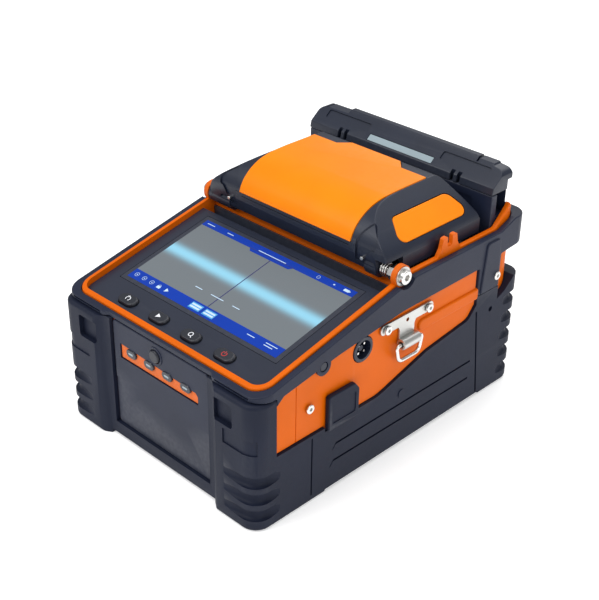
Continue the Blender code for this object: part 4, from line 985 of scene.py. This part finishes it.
def makeBatteryFront():
    faceY, backY, wide = front + batterySizes["face"], front + batterySizes["back"], batteryHigh.x
    where, bore = batterySizes["button"], batterySizes["buttonBore"]
    outline = roundedRect(-wide, wide, batteryLow.z, batteryHigh.z, batterySizes["corner"], 6)
    plate = slab("battery_front_skin", outline, faceY, backY, "Y")
    soften(plate, 0.6, 3)
    x0, x1, low, high = batterySizes["strip"]
    opening = [(x0, low), (x1, low), (x1, high - 4), (x1 - 1.5, high - 2.2), (x0 + 1.5, high), (x0, high)]
    cut(plate, slab("strip_window", opening, faceY - 1, backY + 1, "Y"))
    cut(plate, rod("button_room", "Y", faceY - 2, backY + 2, where, bore))
    lower = fillet([(-wide - 2, 8), (wide + 2, 8), (wide + 2, 37), (12, 37), (8, 34.5), (-8, 34.5), (-12, 37),
                    (-wide - 2, 37)], [0, 0, 0, 2, 2, 2, 2, 0])
    cut(plate, slab("finger_step", lower, faceY - 2, faceY + 0.6, "Y"))
    collar = rod("collar", "Y", faceY - 0.35, faceY + 1, where, batterySizes["collar"], 48)
    soften(collar, 0.25, 2)
    cut(collar, rod("collar_room", "Y", faceY - 2, faceY + 4, where, bore))
    add(plate, collar)
    place(plate, dark, "battery_pack", "dark_plastic", "battery_front")
    gap = batterySizes["stripGap"]
    strip = rect(x0 + gap, x1 - gap, low + gap, high - gap)
    strip = slab("battery_strip_skin", strip, faceY + 0.7, backY - 0.2, "Y")
    place(strip, orange, "battery_pack", "orange_plastic", "battery_strip")
    for number in range(batterySizes["lensCount"]):
        x = batterySizes["lensMiddle"] + (number - 1.5) * batterySizes["lensPitch"]
        outline = stadium(x, batterySizes["lensLevel"], *batterySizes["lens"])
        lens = slab(f"battery_lens_{number + 1}_skin", outline, faceY - 0.5, backY - 0.5, "Y")
        soften(lens, 0.5, 3, 50)
        place(lens, lensDark, "battery_pack", "dark_plastic", f"battery_lens_{number + 1}")
        # painted highlight: the light grey patch on each lens face is a painted glint of light, not a part of the lens
        outline = stadium(x, batterySizes["lensLevel"] + 0.1, 3.4, 1.0)
        glint = slab(f"battery_lens_{number + 1}_mark", outline, faceY - 0.54, faceY - 0.4, "Y")
        place(glint, stripGrey, "battery_pack", "light_plastic")
    button = rod("check_button_skin", "Y", faceY - 1.4, backY + 0.8, where, batterySizes["buttonRadius"], 48)
    soften(button, 0.9, 4)
    add(button, rod("flange", "Y", backY + 0.3, backY + 1.3, where, 4.7))
    place(button, keyDark, "check_button_body", "dark_plastic", "check_button")


screwSizes = {"shank": 1.3, "shankLength": 6.5, "head": 2.4, "headFrom": 0.3, "headTo": 1.7, "socket": 0.42}


def makeScrew(node, side, y, z, seat):
    where, sizes = (y, z), screwSizes
    screw = rod(f"{node}_skin", "X", *between(side, seat - sizes["shankLength"], seat + 0.8), where, sizes["shank"], 24)
    head = rod("head", "X", *between(side, seat + sizes["headFrom"], seat + sizes["headTo"]), where, sizes["head"])
    soften(head, 0.45, 4)
    add(screw, head)
    cut(screw, rod("socket", "X", *between(side, seat + 0.9, seat + 5), where, sizes["head"] * sizes["socket"], 6))
    place(screw, steel, "case", "steel", node)


portSizes = {"socket": 6.7, "cup": 4.9, "cupDepth": 6, "key": 1.5, "pinCircle": 2.9, "pin": 0.6,
             "capLine": (2.5, 3.5, 4.5), "capLineDepth": 0.4}


def makePorts():
    outer, where = dcHigh.x, (dcY, dcZ)
    socket = rod("dc_socket_skin", "X", 60, outer, where, portSizes["socket"], 56)
    soften(socket, 0.5, 3)
    cut(socket, rod("cup", "X", outer - portSizes["cupDepth"], outer + 2, where, portSizes["cup"], 48))
    add(socket, rod("key_block", "X", outer - 6.5, outer - 2.0, where, portSizes["key"], 24))
    place(socket, barDark, "case", "dark_plastic", "dc_socket")
    pins = []
    for y, z in arc(where, portSizes["pinCircle"], 45, 315, 3):
        pins.append(rod("pin", "X", outer - 6.3, outer - 1.6, (y, z), portSizes["pin"], 16))
    place(joinAll("dc_pins", pins), steel, "case", "steel")
    outline = fillet([(usbFront, usbBottom), (usbBack, usbBottom), (usbBack, usbTop - 4), (usbBack - 3, usbTop),
                      (usbFront, usbTop)], [1.2, 1.2, 1.0, 1.0, 1.5], 5)
    cap = slab("usb_cover_skin", outline, usbLow.x, usbHigh.x, "X")
    soften(cap, 0.7, 4, 50)
    side, low, high = portSizes["capLine"]
    inner = roundedRect(usbFront + side, usbBack - side, usbBottom + low, usbTop - high, 1.2, 5)
    cut(cap, slab("cap_line", inner, usbHigh.x - portSizes["capLineDepth"], usbHigh.x + 2, "X"))
    place(cap, rubber, "usb_cover_body", "rubber", "usb_cover")


strapSizes = {
    "thick": 1.2, "seatGap": 0.3, "length": 19.5, "height": 2.6, "neck": 5.5,  # half sizes
    "hole": 15.4, "holeRadius": 1.6, "sleeve": 2.9, "sleeveHalf": 6.2, "bore": 1.6,
    "ring": [(-9.6, 0), (-7.6, -9.2), (7.6, -9.2), (9.6, 0)], "ringRadii": [1.6, 3.6, 3.6, 1.6], "wire": 1.05,
    "sideScrew": (-63.8, 55.1), "postScrew": (73.5, 73.1),
}


def bracketOutline():
    y, z, end, neck = bracketY, bracketZ, strapSizes["length"], strapSizes["neck"]
    low, high = z - strapSizes["height"], z + strapSizes["height"]
    return fillet([(y - end, low), (y - neck - 1, low), (y - neck, z - 4.6), (y - neck, ringZ + 0.4),
                   (y + neck, ringZ + 0.4), (y + neck, z - 4.6), (y + neck + 1, low), (y + end, low),
                   (y + end, high), (y - end, high)], [2.4, 0.8, 0.4, 0, 0, 0.4, 0.8, 2.4, 2.4, 2.4], 5)


def makeStraps():
    for side, label in ((-1, "left"), (1, "right")):
        makeScrew(f"side_screw_{label}", side, *strapSizes["sideScrew"], padFace)
        makeScrew(f"post_screw_{label}", side, *strapSizes["postScrew"], half + 0.2)
        face = padFace + strapSizes["seatGap"]
        x0, x1 = between(side, face, face + strapSizes["thick"])
        bracket = slab(f"strap_bracket_{label}_skin", bracketOutline(), x0, x1, "X")
        soften(bracket, 0.25, 2, 50)
        hole, sleeveHalf = strapSizes["hole"], strapSizes["sleeveHalf"]
        for end in (-hole, hole):
            cut(bracket, rod("hole", "X", x0 - 2, x1 + 2, (bracketY + end, bracketZ), strapSizes["holeRadius"], 24))
        cut(bracket, rod("middle_hole", "X", x0 - 2, x1 + 2, (bracketY, bracketZ - 0.6), 1.1, 24))
        centre = (side * ringX, ringZ)
        sleeve = rod("sleeve", "Y", bracketY - sleeveHalf, bracketY + sleeveHalf, centre, strapSizes["sleeve"])
        soften(sleeve, 0.3, 2)
        add(bracket, sleeve)
        seam = rect(*between(side, ringX, ringX + 6), ringZ - 3.0, ringZ - 2.5)
        cut(bracket, rod("sleeve_bore", "Y", bracketY - 9, bracketY + 9, centre, strapSizes["bore"], 32),
            slab("sleeve_seam", seam, bracketY - 7, bracketY + 7, "Y"))
        place(bracket, brushed, "case", "steel", f"strap_bracket_{label}")
        for end, ending in ((-hole, "front"), (hole, "rear")):
            makeScrew(f"bracket_screw_{label}_{ending}", side, bracketY + end, bracketZ, face + strapSizes["thick"])
        path = fillet(strapSizes["ring"], strapSizes["ringRadii"])
        points = [(side * ringX, bracketY + a, ringZ + b) for a, b in path]
        ring = tube(f"d_ring_{label}_skin", points, strapSizes["wire"], closed=True)
        place(ring, steel, f"d_ring_{label}_body", "steel", f"d_ring_{label}")


stage = {
    "lens": 72.84, "camera": (0.38674, -0.39431, 0.37750),
    "right": (0.70986, 0.70423, 0.01228), "up": (-0.36052, 0.34831, 0.86528), "back": (0.60508, -0.61866, 0.50114),
    "floorSize": 6.0, "floorGlow": 0.42, "world": 0.42,
    "lights": (("key", (-0.35, -0.75, 1.0), 0.7, 7.5), ("fill", (0.95, -0.2, 0.55), 0.8, 3.2),  # size and watts
               ("back", (-0.2, 0.9, 0.9), 0.8, 4.0), ("top", (0.0, 0.05, 1.2), 0.9, 5.0)),
}


def makeStage():
    scene = bpy.context.scene
    camera = bpy.data.cameras.new("camera")
    camera.sensor_width = 36.0
    camera.lens = stage["lens"]
    camera.clip_start = 0.01
    view = bpy.data.objects.new("camera", camera)
    scene.collection.objects.link(view)
    turn = Matrix((stage["right"], stage["up"], stage["back"])).transposed().to_4x4()
    view.matrix_world = Matrix.Translation(stage["camera"]) @ turn
    scene.camera = view
    scene.view_settings.view_transform = "Standard"
    scene.view_settings.look = "None"
    deselect()
    bpy.ops.mesh.primitive_plane_add(size=stage["floorSize"], location=(0, 0, 0))
    floor = bpy.context.object
    floor.name = "floor"
    paper = makeMaterial("paper", (0.92, 0.92, 0.92), 0.9, glow=stage["floorGlow"], spread=0.01, edge=0.0)
    floor.data.materials.append(paper)
    world = bpy.data.worlds.new("studio")
    world.use_nodes = True
    sky = world.node_tree.nodes["Background"]
    sky.inputs["Color"].default_value = (1, 1, 1, 1)
    sky.inputs["Strength"].default_value = stage["world"]
    scene.world = world
    for name, where, size, power in stage["lights"]:
        data = bpy.data.lights.new(name, "AREA")
        data.size = size
        data.energy = power
        light = bpy.data.objects.new(name, data)
        scene.collection.objects.link(light)
        light.location = where
        light.rotation_euler = (Vector((0, 0, 0.06)) - Vector(where)).to_track_quat("-Z", "Y").to_euler()


# CAD pieces that are kept as they are, under each material
kept = {
    steel: ("electrode_front", "electrode_rear", "heater_hinge_pin", "usb_socket", "heater_tray",
            "sheath_clamp_left", "sheath_clamp_right"),
    brushed: ("electrode_clamp_front", "electrode_clamp_rear", "splice_deck"),
    ceramic: ("v_groove_block",),
    dark: ("battery_case", "microscope_module", "arc_module", "lcd_module", "fibre_presser_left",
           "fibre_presser_right"),
    boardGreen: ("main_board", "key_board"),
}


def dressFrame():
    for material, names in kept.items():
        for name in names:
            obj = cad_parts[name]
            for materialSlot in obj.material_slots:
                materialSlot.material = material
            bevel = obj.modifiers.new("soften", "BEVEL")
            bevel.width = 0.2 * mm
            bevel.segments = 2
            bevel.limit_method = "ANGLE"
            bevel.angle_limit = math.radians(40)


makeStage()
print("stage")
makeBoot()
print("boot")
makeShell()
print("shell")
makeBand()
print("band")
makePanel()
makeScreen()
makeKeys()
print("panel")
makeWindCover()
makeHinge()
print("wind cover")
makeHeaterBase()
makeHeaterLid()
print("heater")
makeBatteryFront()
makePorts()
makeStraps()
print("front and sides")
dressFrame()
